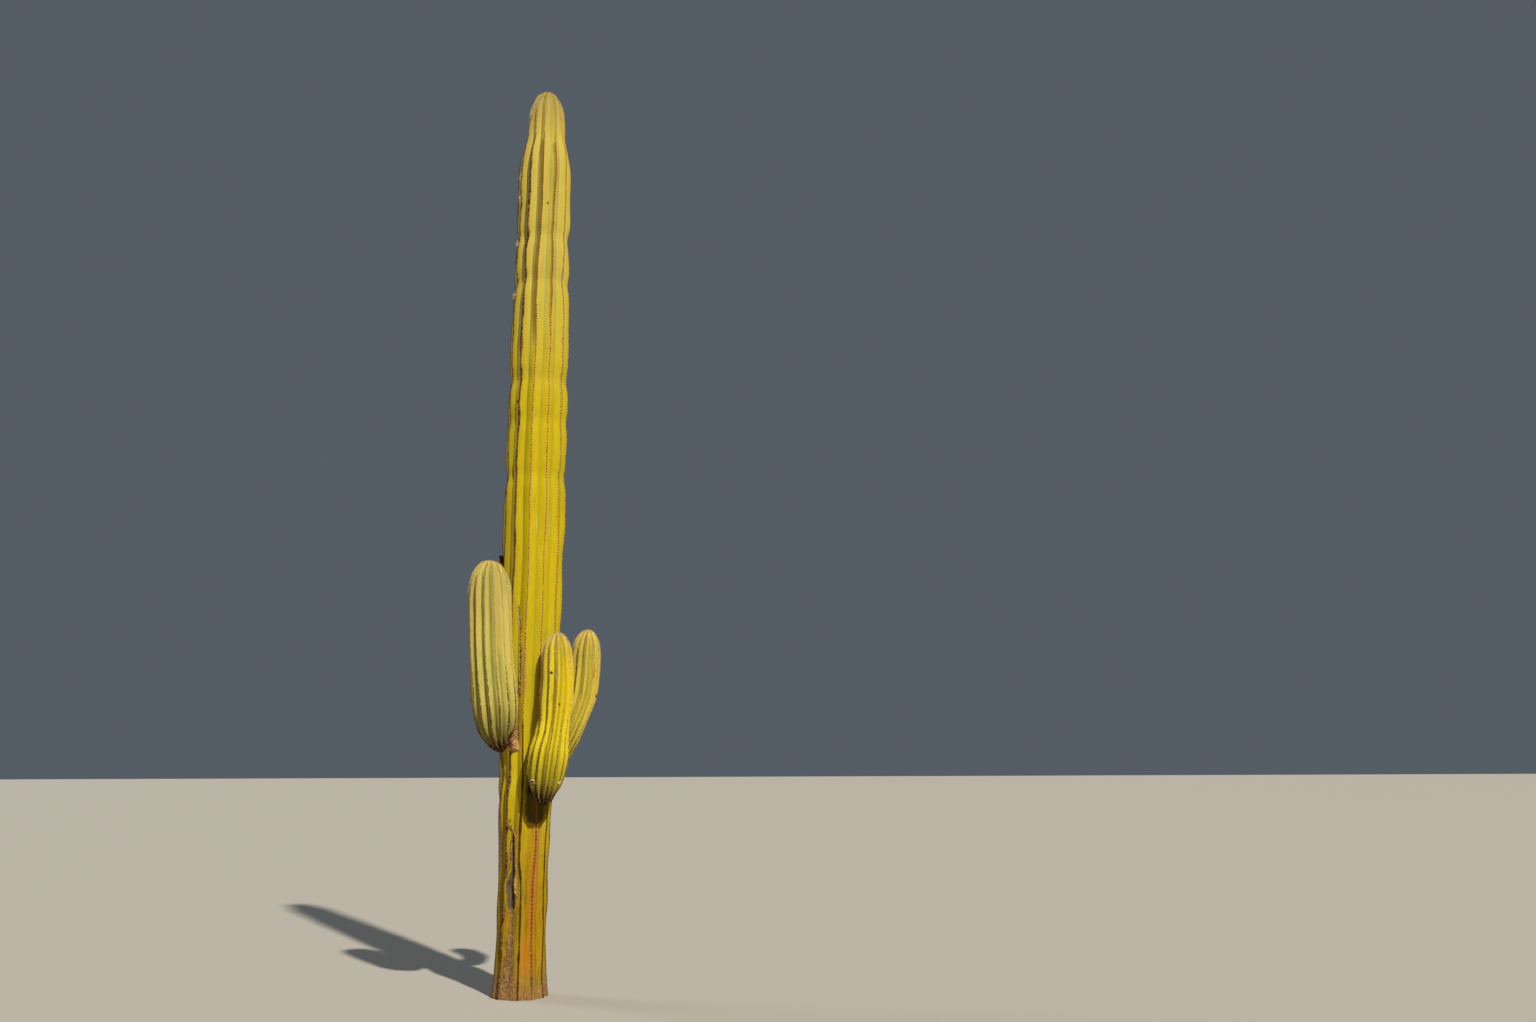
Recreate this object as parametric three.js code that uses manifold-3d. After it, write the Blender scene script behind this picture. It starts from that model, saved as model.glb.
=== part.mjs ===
// A cardon, a giant columnar cactus, standing in level ground: one ribbed main stem with three young
// arms low down on it, each on a narrow woody neck, and a cluster of dried buds on one rib.
// Millimetres, +Z up. The front is -Y. The origin is the middle of the flat cut at ground level.

import * as THREE from 'three';
import { mergeVertices } from 'three/addons/utils/BufferGeometryUtils.js';
import Module from 'manifold-3d';

// Driving dimensions

const HEIGHT = 6090;            // ground to the tip of the main stem
const TIP_LEAN = 46;            // how far the tip stands to +X of the foot
const CLEARANCE = 0.3;          // air left between the stem and what grows on it
const SLOPE_ALLOWANCE = 1.6;    // a rib's flank turns a radial gap into a smaller one
const POINTS_PER_RIB = 4;       // crest, flank, furrow, flank
const STRAIGHT_FLANK = 0.6;     // how straight a rib's flanks are, from round to a plain V

const STEM = {
  ribs: 12,
  firstCrest: -9,               // degrees from -Y towards +X
  furrow: 0.125,                // depth of a furrow as a share of the radius
  flatFoot: 0.6,                // at the foot the furrows keep this share of their depth
  footHeight: 1500,             // where they reach their full depth
  // Height and radius over the crests, from the flared foot to the small young head
  girth: [
    [0, 180], [130, 166], [420, 157], [760, 157], [1080, 167], [1500, 177], [2050, 189], [2600, 197],
    [3150, 202], [3650, 199], [4200, 195], [4700, 187], [5150, 178], [5470, 176], [5620, 157],
    [5740, 128], [5860, 120], [5960, 108], [6040, 74], [6080, 30], [6090, 0],
  ],
  shaftTop: 5560,               // below it the rings may lie further apart
  shaftSpacing: 92,
  headSpacing: 42,
  // Each year's growth ends in a slight waist: its height and depth
  waists: [[1390, 9], [3345, 10], [3720, 8], [4005, 11], [4690, 11], [5010, 11]],
  waistReach: 62,
};

// An arm is a barrel that hangs on its neck. Its stations are the middle of the barrel and the radius there.
const LEFT_ARM = {
  ribs: 14,
  firstCrest: 12,
  furrow: 0.17,
  stations: [
    [[-138, -240, 1534], 0], [[-148, -245, 1560], 42], [[-164, -256, 1612], 80], [[-178, -266, 1682], 119],
    [[-186, -272, 1760], 138], [[-197, -272, 1860], 145], [[-214, -267, 2010], 141], [[-231, -260, 2220], 136],
    [[-243, -258, 2430], 134], [[-248, -258, 2560], 130], [[-252, -258, 2650], 114], [[-251, -258, 2706], 88],
    [[-250, -258, 2742], 52], [[-249, -258, 2754], 0],
  ],
  neck: { from: [-150, -250, 1622], to: [-46, -92, 1560], thin: 46, thick: 60 },
};

const FRONT_ARM = {
  ribs: 13,
  firstCrest: -1,
  furrow: 0.18,
  stations: [
    [[120, -262, 1200], 0], [[123, -266, 1228], 46], [[125, -272, 1282], 76], [[130, -279, 1345], 106],
    [[138, -284, 1430], 122], [[150, -285, 1530], 125], [[167, -280, 1630], 109], [[180, -272, 1735], 102],
    [[189, -266, 1860], 107], [[194, -264, 1995], 104], [[192, -263, 2120], 97], [[189, -263, 2200], 86],
    [[187, -263, 2256], 64], [[186, -263, 2286], 36], [[185, -263, 2297], 0],
  ],
  neck: { from: [128, -262, 1312], to: [62, -92, 1292], thin: 48, thick: 60 },
};

const RIGHT_ARM = {
  ribs: 12,
  firstCrest: -4,
  furrow: 0.17,
  stations: [
    [[190, 26, 1425], 0], [[199, 30, 1452], 44], [[215, 36, 1508], 66], [[245, 43, 1577], 77],
    [[280, 48, 1658], 84], [[315, 51, 1747], 88], [[347, 52, 1840], 90], [[369, 52, 1930], 91],
    [[382, 51, 2060], 92], [[388, 50, 2190], 91], [[393, 50, 2262], 79], [[395, 50, 2308], 54],
    [[395, 50, 2332], 26], [[395, 50, 2338], 0],
  ],
  neck: { from: [240, 42, 1560], to: [84, 10, 1352], thin: 52, thick: 70 },
};

const RINGS_IN_BARREL = 20;
const NECK_SIDES = 12;
const NECK_WAIST = 0.55;        // where along its length a neck is thinnest

// Dried buds that stayed on the rib that faces -X
const BUDS = {
  middle: [-186, 27, 2784],
  count: 5,
  ringHeight: 26,               // how far the outer buds lie above and below the middle
  ringWidth: 15,                // and to each side of it
  length: 19,
  width: 17,
};

const COLOURS = {
  main_stem: 0xb7a422,
  left_arm: 0xa6a24c,
  front_arm: 0xb3a030,
  right_arm: 0xaa9d3e,
  dried_buds: 0x4a2f1e,
};
const SKIN_ROUGHNESS = 0.62;

// Shape rules that every limb follows

// Depth of the skin under the crest: nothing on a crest, all of it in a furrow. turn counts ribs.
function furrowShape(turn) {
  const round = 1 - Math.abs(Math.cos(Math.PI * turn));
  const straight = 2 * Math.abs(turn - Math.round(turn));
  return THREE.MathUtils.lerp(round, straight, STRAIGHT_FLANK);
}

// Two directions across a limb: towards its front and towards its right, for the way that it grows.
function across(growth) {
  const right = new THREE.Vector3(1, 0, 0).addScaledVector(growth, -growth.x).normalize();
  const front = new THREE.Vector3().crossVectors(right, growth);
  return { front, right };
}

function ring(middle, growth, radius, ribs, firstCrest, furrow) {
  const { front, right } = across(growth);
  const points = [];
  for (let k = 0; k < ribs * POINTS_PER_RIB; k += 1) {
    const turn = k / POINTS_PER_RIB;
    const angle = THREE.MathUtils.degToRad(firstCrest) + (2 * Math.PI * turn) / ribs;
    const reach = radius * (1 - furrow * furrowShape(turn));
    points.push(middle.clone()
      .addScaledVector(front, reach * Math.cos(angle))
      .addScaledVector(right, reach * Math.sin(angle)));
  }
  return points;
}

// One closed skin through rings of equal count, from a foot point to a tip point.
function skin(foot, rings, tip) {
  const count = rings[0].length;
  const points = [foot, ...rings.flat(), tip];
  const tipIndex = points.length - 1;
  const at = (i, k) => 1 + i * count + (k % count);
  const faces = [];
  for (let k = 0; k < count; k += 1) {
    faces.push(0, at(0, k + 1), at(0, k));
    faces.push(tipIndex, at(rings.length - 1, k), at(rings.length - 1, k + 1));
    for (let i = 0; i + 1 < rings.length; i += 1) {
      faces.push(at(i, k), at(i, k + 1), at(i + 1, k + 1));
      faces.push(at(i, k), at(i + 1, k + 1), at(i + 1, k));
    }
  }
  const geometry = new THREE.BufferGeometry();
  geometry.setAttribute('position', new THREE.Float32BufferAttribute(points.flatMap((p) => p.toArray()), 3));
  geometry.setIndex(faces);
  return geometry;
}

// Main stem

function stemGirth(height, smoothRadius) {
  const waist = STEM.waists.reduce(
    (sum, [level, depth]) => sum + depth * Math.exp(-(((height - level) / STEM.waistReach) ** 2)), 0);
  return smoothRadius - waist;
}

function stemMiddle(height) {
  return new THREE.Vector3((TIP_LEAN * height) / HEIGHT, 0, height);
}

// grown thickens the stem all round, which gives the space that the other parts keep clear of.
function mainStem(grown = 0) {
  const profile = new THREE.SplineCurve(STEM.girth.map(([height, radius]) => new THREE.Vector2(height, radius)));
  const length = profile.getLength();
  const up = new THREE.Vector3(0, 0, 1);
  const rings = [];
  let along = 0;
  while (along < length - STEM.headSpacing / 2) {
    const station = profile.getPointAt(along / length);
    const rising = THREE.MathUtils.smoothstep(station.x, 0, STEM.footHeight);
    const furrow = STEM.furrow * THREE.MathUtils.lerp(STEM.flatFoot, 1, rising);
    rings.push(ring(stemMiddle(station.x), up, stemGirth(station.x, station.y) + grown,
      STEM.ribs, STEM.firstCrest, furrow));
    along += station.x < STEM.shaftTop ? STEM.shaftSpacing : STEM.headSpacing;
  }
  return skin(stemMiddle(0), rings, stemMiddle(HEIGHT + grown));
}

// Arms

function barrel(arm) {
  const axis = new THREE.CatmullRomCurve3(
    arm.stations.map(([middle]) => new THREE.Vector3(...middle)), false, 'catmullrom');
  const girth = new THREE.SplineCurve(arm.stations.map(([, radius], i) => new THREE.Vector2(i, radius)));
  const rings = [];
  for (let i = 1; i < RINGS_IN_BARREL; i += 1) {
    const share = i / RINGS_IN_BARREL;
    rings.push(ring(axis.getPoint(share), axis.getTangent(share), girth.getPoint(share).y,
      arm.ribs, arm.firstCrest, arm.furrow));
  }
  return skin(axis.getPoint(0), rings, axis.getPoint(1));
}

// A neck is a waisted peg of wood from inside the barrel to inside the stem.
function neckPeg({ from, to, thin, thick }) {
  const start = new THREE.Vector3(...to);
  const end = new THREE.Vector3(...from);
  const length = start.distanceTo(end);
  const profile = new THREE.SplineCurve([
    new THREE.Vector2(thick, 0),
    new THREE.Vector2(thin, length * NECK_WAIST),
    new THREE.Vector2(thick, length),
  ]).getPoints(6);
  const outline = [new THREE.Vector2(0, 0), ...profile, new THREE.Vector2(0, length)];
  const peg = new THREE.LatheGeometry(outline, NECK_SIDES);
  const growth = end.clone().sub(start).normalize();
  peg.applyQuaternion(new THREE.Quaternion().setFromUnitVectors(new THREE.Vector3(0, 1, 0), growth));
  return peg.translate(...start.toArray());
}

// Dried buds: one in the middle and the others round it

function budShapes() {
  const buds = [];
  for (let i = 0; i < BUDS.count; i += 1) {
    const angle = (2 * Math.PI * i) / (BUDS.count - 1);
    const out = i === BUDS.count - 1 ? 0 : 1;
    const bud = new THREE.IcosahedronGeometry(1, 1);
    bud.scale(BUDS.width, BUDS.width, BUDS.length);
    bud.translate(
      BUDS.middle[0] + (1 - out) * -BUDS.width * 0.4,
      BUDS.middle[1] + out * BUDS.ringWidth * Math.sin(angle),
      BUDS.middle[2] + out * BUDS.ringHeight * Math.cos(angle));
    buds.push(bud);
  }
  return buds;
}

// Joining and cutting

const wasm = await Module();
wasm.setup();

function solid(geometry) {
  const bare = geometry.clone();
  bare.deleteAttribute('normal');
  bare.deleteAttribute('uv');
  const merged = mergeVertices(bare, 1e-3);
  return new wasm.Manifold(new wasm.Mesh({
    numProp: 3,
    vertProperties: new Float32Array(merged.attributes.position.array),
    triVerts: new Uint32Array(merged.index.array),
  }));
}

function geometryOf(manifold) {
  const { vertProperties, triVerts } = manifold.getMesh();
  const geometry = new THREE.BufferGeometry();
  geometry.setAttribute('position', new THREE.BufferAttribute(vertProperties, 3));
  geometry.setIndex(new THREE.BufferAttribute(triVerts, 1));
  geometry.computeVertexNormals();
  return geometry;
}

const keepClear = solid(mainStem(CLEARANCE * SLOPE_ALLOWANCE));

// Parts that are fused into one and cut where they would reach the stem
function grownOnStem(shapes) {
  return geometryOf(shapes.map(solid).reduce((sum, shape) => sum.add(shape)).subtract(keepClear));
}

// The plant

const plant = new THREE.Group();

function place(name, geometry) {
  const material = new THREE.MeshStandardMaterial({
    color: COLOURS[name], roughness: SKIN_ROUGHNESS, metalness: 0, flatShading: true,
  });
  const mesh = new THREE.Mesh(geometry, material);
  mesh.name = name;
  plant.add(mesh);
}

place('main_stem', mainStem());
place('left_arm', grownOnStem([barrel(LEFT_ARM), neckPeg(LEFT_ARM.neck)]));
place('front_arm', grownOnStem([barrel(FRONT_ARM), neckPeg(FRONT_ARM.neck)]));
place('right_arm', grownOnStem([barrel(RIGHT_ARM), neckPeg(RIGHT_ARM.neck)]));
place('dried_buds', grownOnStem(budShapes()));

export default plant;
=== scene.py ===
# %% [markdown]
# This lesson dresses a cardon, the giant columnar cactus of Baja California, over its measured solids.
# The solids give every limb its place and girth. Blender adds what a camera sees: sharp ribs, felted
# areoles in rows, spines, wool on the growing tips, cork, scars and a waxy skin.

# %% Load the measured solids
import math
from functools import partial

import bmesh
import bpy
import numpy as np
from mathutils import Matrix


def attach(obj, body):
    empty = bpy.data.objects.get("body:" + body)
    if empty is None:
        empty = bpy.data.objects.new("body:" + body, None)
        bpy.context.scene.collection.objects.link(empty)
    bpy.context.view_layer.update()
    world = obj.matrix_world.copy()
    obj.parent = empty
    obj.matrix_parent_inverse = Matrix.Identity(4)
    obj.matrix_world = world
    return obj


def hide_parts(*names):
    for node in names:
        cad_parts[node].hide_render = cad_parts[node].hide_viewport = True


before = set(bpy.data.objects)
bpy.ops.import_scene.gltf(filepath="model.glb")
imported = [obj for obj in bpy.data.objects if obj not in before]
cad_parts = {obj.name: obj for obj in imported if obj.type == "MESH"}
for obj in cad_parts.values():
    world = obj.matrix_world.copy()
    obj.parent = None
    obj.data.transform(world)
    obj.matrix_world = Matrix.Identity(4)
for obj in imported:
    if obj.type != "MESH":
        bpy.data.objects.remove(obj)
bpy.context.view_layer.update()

MM = 0.001

# %% [markdown]
# The camera stands at eye height, ten metres in front of the plant. Two things in the photograph fix its
# direction: the row where the level horizon lies gives the upward tilt, and the column of the plant's
# foot gives the turn. A 35 mm lens on a 36 mm sensor makes one metre at the foot 149 pixels wide.

# %% Camera
PHOTO_WIDTH = 1536
PHOTO_HEIGHT = 1022
HORIZON_ROW = 742
FOOT_COLUMN = 519
EYE_HEIGHT = 1.6
DISTANCE = 10.0
LENS = 35.0
SENSOR = 36.0
FAR_CLIP = 200.0
TURN_ROUNDS = 8


def link_new(name, data):
    """A new object in the scene."""
    thing = bpy.data.objects.new(name, data)
    bpy.context.scene.collection.objects.link(thing)
    return thing


def make_camera():
    """The tilt moves the foot's column a little, so the turn is found in a few rounds."""
    focal = PHOTO_WIDTH * LENS / SENSOR
    tilt = math.atan((HORIZON_ROW - PHOTO_HEIGHT / 2) / focal)
    aside = (PHOTO_WIDTH / 2 - FOOT_COLUMN) / focal
    turn = 0.0
    for _ in range(TURN_ROUNDS):
        depth = math.cos(turn) * math.cos(tilt) - EYE_HEIGHT / DISTANCE * math.sin(tilt)
        turn = math.asin(aside * depth)
    data = bpy.data.cameras.new("camera")
    data.lens = LENS
    data.sensor_width = SENSOR
    data.clip_end = FAR_CLIP
    camera = link_new("camera", data)
    camera.location = (0.0, -DISTANCE, EYE_HEIGHT)
    camera.rotation_euler = (math.pi / 2 + tilt, 0.0, -turn)
    bpy.context.scene.camera = camera
    print(f"camera tilted {math.degrees(tilt):.2f} and turned {math.degrees(turn):.2f} degrees")


make_camera()

# %% [markdown]
# Every limb of a cactus is the same kind of thing: a stack of stations, each with a middle and a radius,
# joined by a smooth curve, with ribs round it. The numbers are those of the solids, in millimetres.
# Keeping one rule for the column and its arms means that one set of functions dresses them all.

# %% Stations of the column and its arms
HEIGHT = 6090
TIP_LEAN = 46
STEM_GIRTH = [
    (0, 180), (130, 166), (420, 157), (760, 157), (1080, 167), (1500, 177), (2050, 189), (2600, 197),
    (3150, 202), (3650, 199), (4200, 195), (4700, 187), (5150, 178), (5470, 176), (5620, 157),
    (5740, 128), (5860, 120), (5960, 108), (6040, 74), (6080, 30), (6090, 0),
]
STEM_STATIONS = [(TIP_LEAN * height / HEIGHT, 0, height, radius) for height, radius in STEM_GIRTH]

LEFT_STATIONS = [
    (-138, -240, 1534, 0), (-148, -245, 1560, 42), (-164, -256, 1612, 80), (-178, -266, 1682, 119),
    (-186, -272, 1760, 138), (-197, -272, 1860, 145), (-214, -267, 2010, 141), (-231, -260, 2220, 136),
    (-243, -258, 2430, 134), (-248, -258, 2560, 130), (-252, -258, 2650, 114), (-251, -258, 2706, 88),
    (-250, -258, 2742, 52), (-249, -258, 2754, 0),
]
FRONT_STATIONS = [
    (120, -262, 1200, 0), (123, -266, 1228, 46), (125, -272, 1282, 76), (130, -279, 1345, 106),
    (138, -284, 1430, 122), (150, -285, 1530, 125), (167, -280, 1630, 109), (180, -272, 1735, 102),
    (189, -266, 1860, 107), (194, -264, 1995, 104), (192, -263, 2120, 97), (189, -263, 2200, 86),
    (187, -263, 2256, 64), (186, -263, 2286, 36), (185, -263, 2297, 0),
]
RIGHT_STATIONS = [
    (190, 26, 1425, 0), (199, 30, 1452, 44), (215, 36, 1508, 66), (245, 43, 1577, 77),
    (280, 48, 1658, 84), (315, 51, 1747, 88), (347, 52, 1840, 90), (369, 52, 1930, 91),
    (382, 51, 2060, 92), (388, 50, 2190, 91), (393, 50, 2262, 79), (395, 50, 2308, 54),
    (395, 50, 2332, 26), (395, 50, 2338, 0),
]


def through(stations, shares):
    """A smooth curve through the stations, at shares from 0 to 1 of the way from the first to the last."""
    points = np.asarray(stations, float)
    last = len(points) - 1
    place = np.clip(shares, 0, 1) * last
    i = np.minimum(place.astype(int), last - 1)
    t = (place - i)[:, None]
    a, b, c, d = (points[np.clip(i + k, 0, last)] for k in (-1, 0, 1, 2))
    return b + 0.5 * t * (c - a + t * (2 * a - 5 * b + 4 * c - d + t * (3 * (b - c) + d - a)))


print("stations:", len(STEM_STATIONS), len(LEFT_STATIONS), len(FRONT_STATIONS), len(RIGHT_STATIONS))

# %% [markdown]
# No rib of a real cardon is straight. Each swells and pinches a little at its own heights, and its crest
# wanders from side to side. A few long sine waves that run round the limb as well as along it give that
# without any visible repeat, and a fixed seed gives the same plant every time.

# %% Long waves that make the ribs uneven
def long_waves(seed, count, most_rounds, shortest, longest):
    """Waves as (times round the limb, turns per metre along it, start, weight)."""
    draw = np.random.default_rng(seed)
    return [(int(draw.integers(-most_rounds, most_rounds + 1)), math.tau / draw.uniform(shortest, longest),
             draw.uniform(0, math.tau), draw.uniform(0.5, 1.0)) for _ in range(count)]


def ripple(waves, angle, along):
    """The waves' sum at angles round the limb and distances along it, mostly from -1 to 1."""
    total = sum(weight * np.sin(rounds * angle + pace * along + start)
                for rounds, pace, start, weight in waves)
    return total / math.sqrt(sum(weight * weight for *_, weight in waves))


def smooth(low, high, value):
    """0 below low, 1 above high and a smooth step between."""
    t = np.clip((value - low) / (high - low), 0, 1)
    return t * t * (3 - 2 * t)


# %% [markdown]
# Damage tells the plant's story: a long healed split on the column, a hollow groove on the old trunk,
# holes pecked by birds, bark round the arms' necks. Each mark is a short list of height in millimetres,
# degrees round the limb from the camera's side and half a width. It dents the skin and also says what
# grows there, so that shape and colour can't drift apart.

# %% A mark
LIP_MIDDLE = 1.4
LIP_REACH = 0.45


class Mark:
    """A stripe or spot on a limb. Its kind, one of MARK_KINDS, is what the skin's colours read."""

    def __init__(self, kind, line, blunt, depth=0.0, lip=0.0):
        self.kind, self.blunt = kind, blunt
        self.depth, self.lip = depth * MM, lip * MM
        self.height, self.degrees, self.half = np.array(sorted(line), float).T

    def cover(self, height, degrees, radius):
        """How far from the mark's middle each point lies, as a share of its half width: 1 is its edge."""
        middle = np.interp(height / MM, self.height, self.degrees)
        half = np.interp(height / MM, self.height, self.half)
        off = (degrees - middle + 180) % 360 - 180
        aside = np.radians(off) * radius / MM
        beyond = np.maximum(self.height[0] - height / MM, height / MM - self.height[-1]).clip(0)
        return np.hypot(aside / half, beyond / self.blunt)

    def relief(self, cover):
        """How far the skin stands out: a dent in the middle and a swollen lip just past the edge."""
        lip = np.exp(-(((cover - LIP_MIDDLE) / LIP_REACH) ** 2))
        return self.lip * lip - self.depth * smooth(1.2, 0.35, cover)


# %% Marks on the column and its arms
SPLIT = [(2493, -29.5, 2), (2440, -26, 3), (2318, -21.5, 3), (2200, -20, 3), (2050, -19, 3),
         (1890, -18.5, 2)]
LOW_GROOVE = [(1090, -37.5, 3), (1040, -31, 4), (1008, -26, 7), (975, -26.5, 10), (920, -27.3, 13),
              (796, -25.8, 13), (740, -30, 20), (700, -33, 28), (640, -30, 30), (565, -28, 26)]
LOW_HOLLOW = [(705, -33, 18), (640, -30, 24), (575, -28, 20)]
REAR_SPLIT = [(1900, 118, 4), (1780, 122, 9), (1610, 120, 6)]
STEM_MARKS = [
    Mark("wound", SPLIT, depth=9, lip=3, blunt=16),
    Mark("wound", LOW_GROOVE, depth=12, lip=5, blunt=20),
    Mark("wound", LOW_HOLLOW, depth=9, blunt=20),
    Mark("wound", REAR_SPLIT, depth=10, lip=4, blunt=25),
    Mark("cork", [(1720, -24, 8), (1650, -26, 22), (1590, -28, 32), (1550, -29, 24)], lip=2, blunt=16),
    Mark("cork", [(1500, -66, 12), (1400, -67, 12), (1200, -69, 11), (1000, -70, 11), (840, -70, 10)],
         blunt=40),
    # Dark bark round the front arm's neck, and the painted shadow that the arm casts on the column.
    Mark("dark", [(1400, 26, 50), (1290, 25, 78), (1170, 26, 84), (1110, 27, 64)], blunt=25),
    Mark("cork", [(1530, 97, 30), (1450, 97, 56), (1360, 97, 40)], blunt=30),
    Mark("cork", [(550, -25, 15), (520, -25, 18), (400, -26, 22), (250, -28, 32), (0, -31, 60)],
         depth=1.5, lip=2, blunt=30),
    Mark("rust", [(760, -20, 8), (700, -19.5, 14), (640, -20, 10)], blunt=30),
    Mark("pink", [(1060, 41, 10), (960, 40, 17), (860, 37, 18), (770, 30, 15), (600, 29, 10)], blunt=60),
    Mark("rust", [(1120, 21, 10), (900, 23, 20), (600, 26, 26), (400, 24, 30), (300, 15, 44), (200, 15, 60)],
         blunt=60),
    Mark("rust", [(1030, -18, 8), (930, -20, 9), (700, -20, 8), (560, -16, 7)], blunt=40),
    Mark("rust", [(3040, -71, 10), (2880, -72, 14), (2760, -70, 10)], blunt=60),
    Mark("pink", [(2170, -9, 8), (2050, -9, 10), (1920, -9, 9)], blunt=40),
    Mark("pale", [(3100, 31, 4), (3040, 31.5, 6), (2970, 31, 4)], blunt=10),
    Mark("pale", [(3062, 5, 4), (2995, 5.5, 5)], blunt=10),
    Mark("cork", [(820, 150, 14), (560, 152, 34), (300, 155, 40), (0, 158, 60)], depth=2, lip=3, blunt=60),
    Mark("rust", [(1200, 205, 14), (900, 208, 30), (560, 206, 20)], blunt=90),
    Mark("pink", [(1000, 262, 10), (760, 264, 22), (420, 262, 18)], blunt=90),
]
LEFT_MARKS = [
    Mark("cork", [(1650, 64, 8), (1620, 62, 18), (1590, 60, 18)], blunt=20),
    Mark("pale", [(2600, 30, 30), (2480, 34, 60), (2260, 38, 60), (2120, 44, 30)], blunt=80),
]
FRONT_MARKS = [
    Mark("gold", [(2160, 32, 20), (2020, 40, 46), (1890, 34, 36), (1800, 28, 16)], blunt=60),
    Mark("pale", [(2066, -2, 14), (2006, 0, 18)], blunt=22),
    Mark("rust", [(1990, -8, 9), (1900, -6, 12), (1700, -6, 9)], blunt=60),
]
RIGHT_MARKS = [Mark("rust", [(2100, 42, 5), (2070, 44, 10), (2030, 47, 8)], depth=3, lip=2, blunt=20)]
print("marks on the column:", len(STEM_MARKS))

# %% [markdown]
# A limb object turns a place on the skin, given as a distance along it and a number of ribs round it,
# into a point in space. Skin, areoles, spines and wool all ask the same object, so they always meet.
# A rib's flanks are nearly straight, its crest is a blunt edge and the furrow between two ribs is sharp.
# How deep the furrows are goes by height: shallow at the foot and in the swollen middle, where the plant
# is full of water, and deep under the head.

# %% Directions, and the shape of a rib
STRAIGHT_FLANK = 0.6


def unit(vectors):
    """The same vectors, each made one long."""
    return vectors / (np.linalg.norm(vectors, axis=-1)[..., None] + 1e-12)


def towards(first, second, angle):
    """Directions that lie at an angle from the first towards the second."""
    return first * np.cos(angle)[..., None] + second * np.sin(angle)[..., None]


def axes_from(side, out):
    """Axes for each copy of a shape: to the side, up and out."""
    return np.stack([side, np.cross(out, side), out], 1)


def furrow_shape(turn):
    """0 on a crest and 1 in a furrow, where turn counts ribs."""
    rounded = 1 - np.abs(np.cos(np.pi * turn))
    straight = 2 * np.abs(turn - np.round(turn))
    return rounded + STRAIGHT_FLANK * (straight - rounded)


# %% The limb
FULL_RELIEF = 70 * MM
WAIST_REACH = 62 * MM
LEAST_GIRTH = 12 * MM
NUDGE = 2 * MM
QUARTER_RIB = 0.25
SAMPLES = 6001
PLACE_ROUNDS = 4


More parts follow.
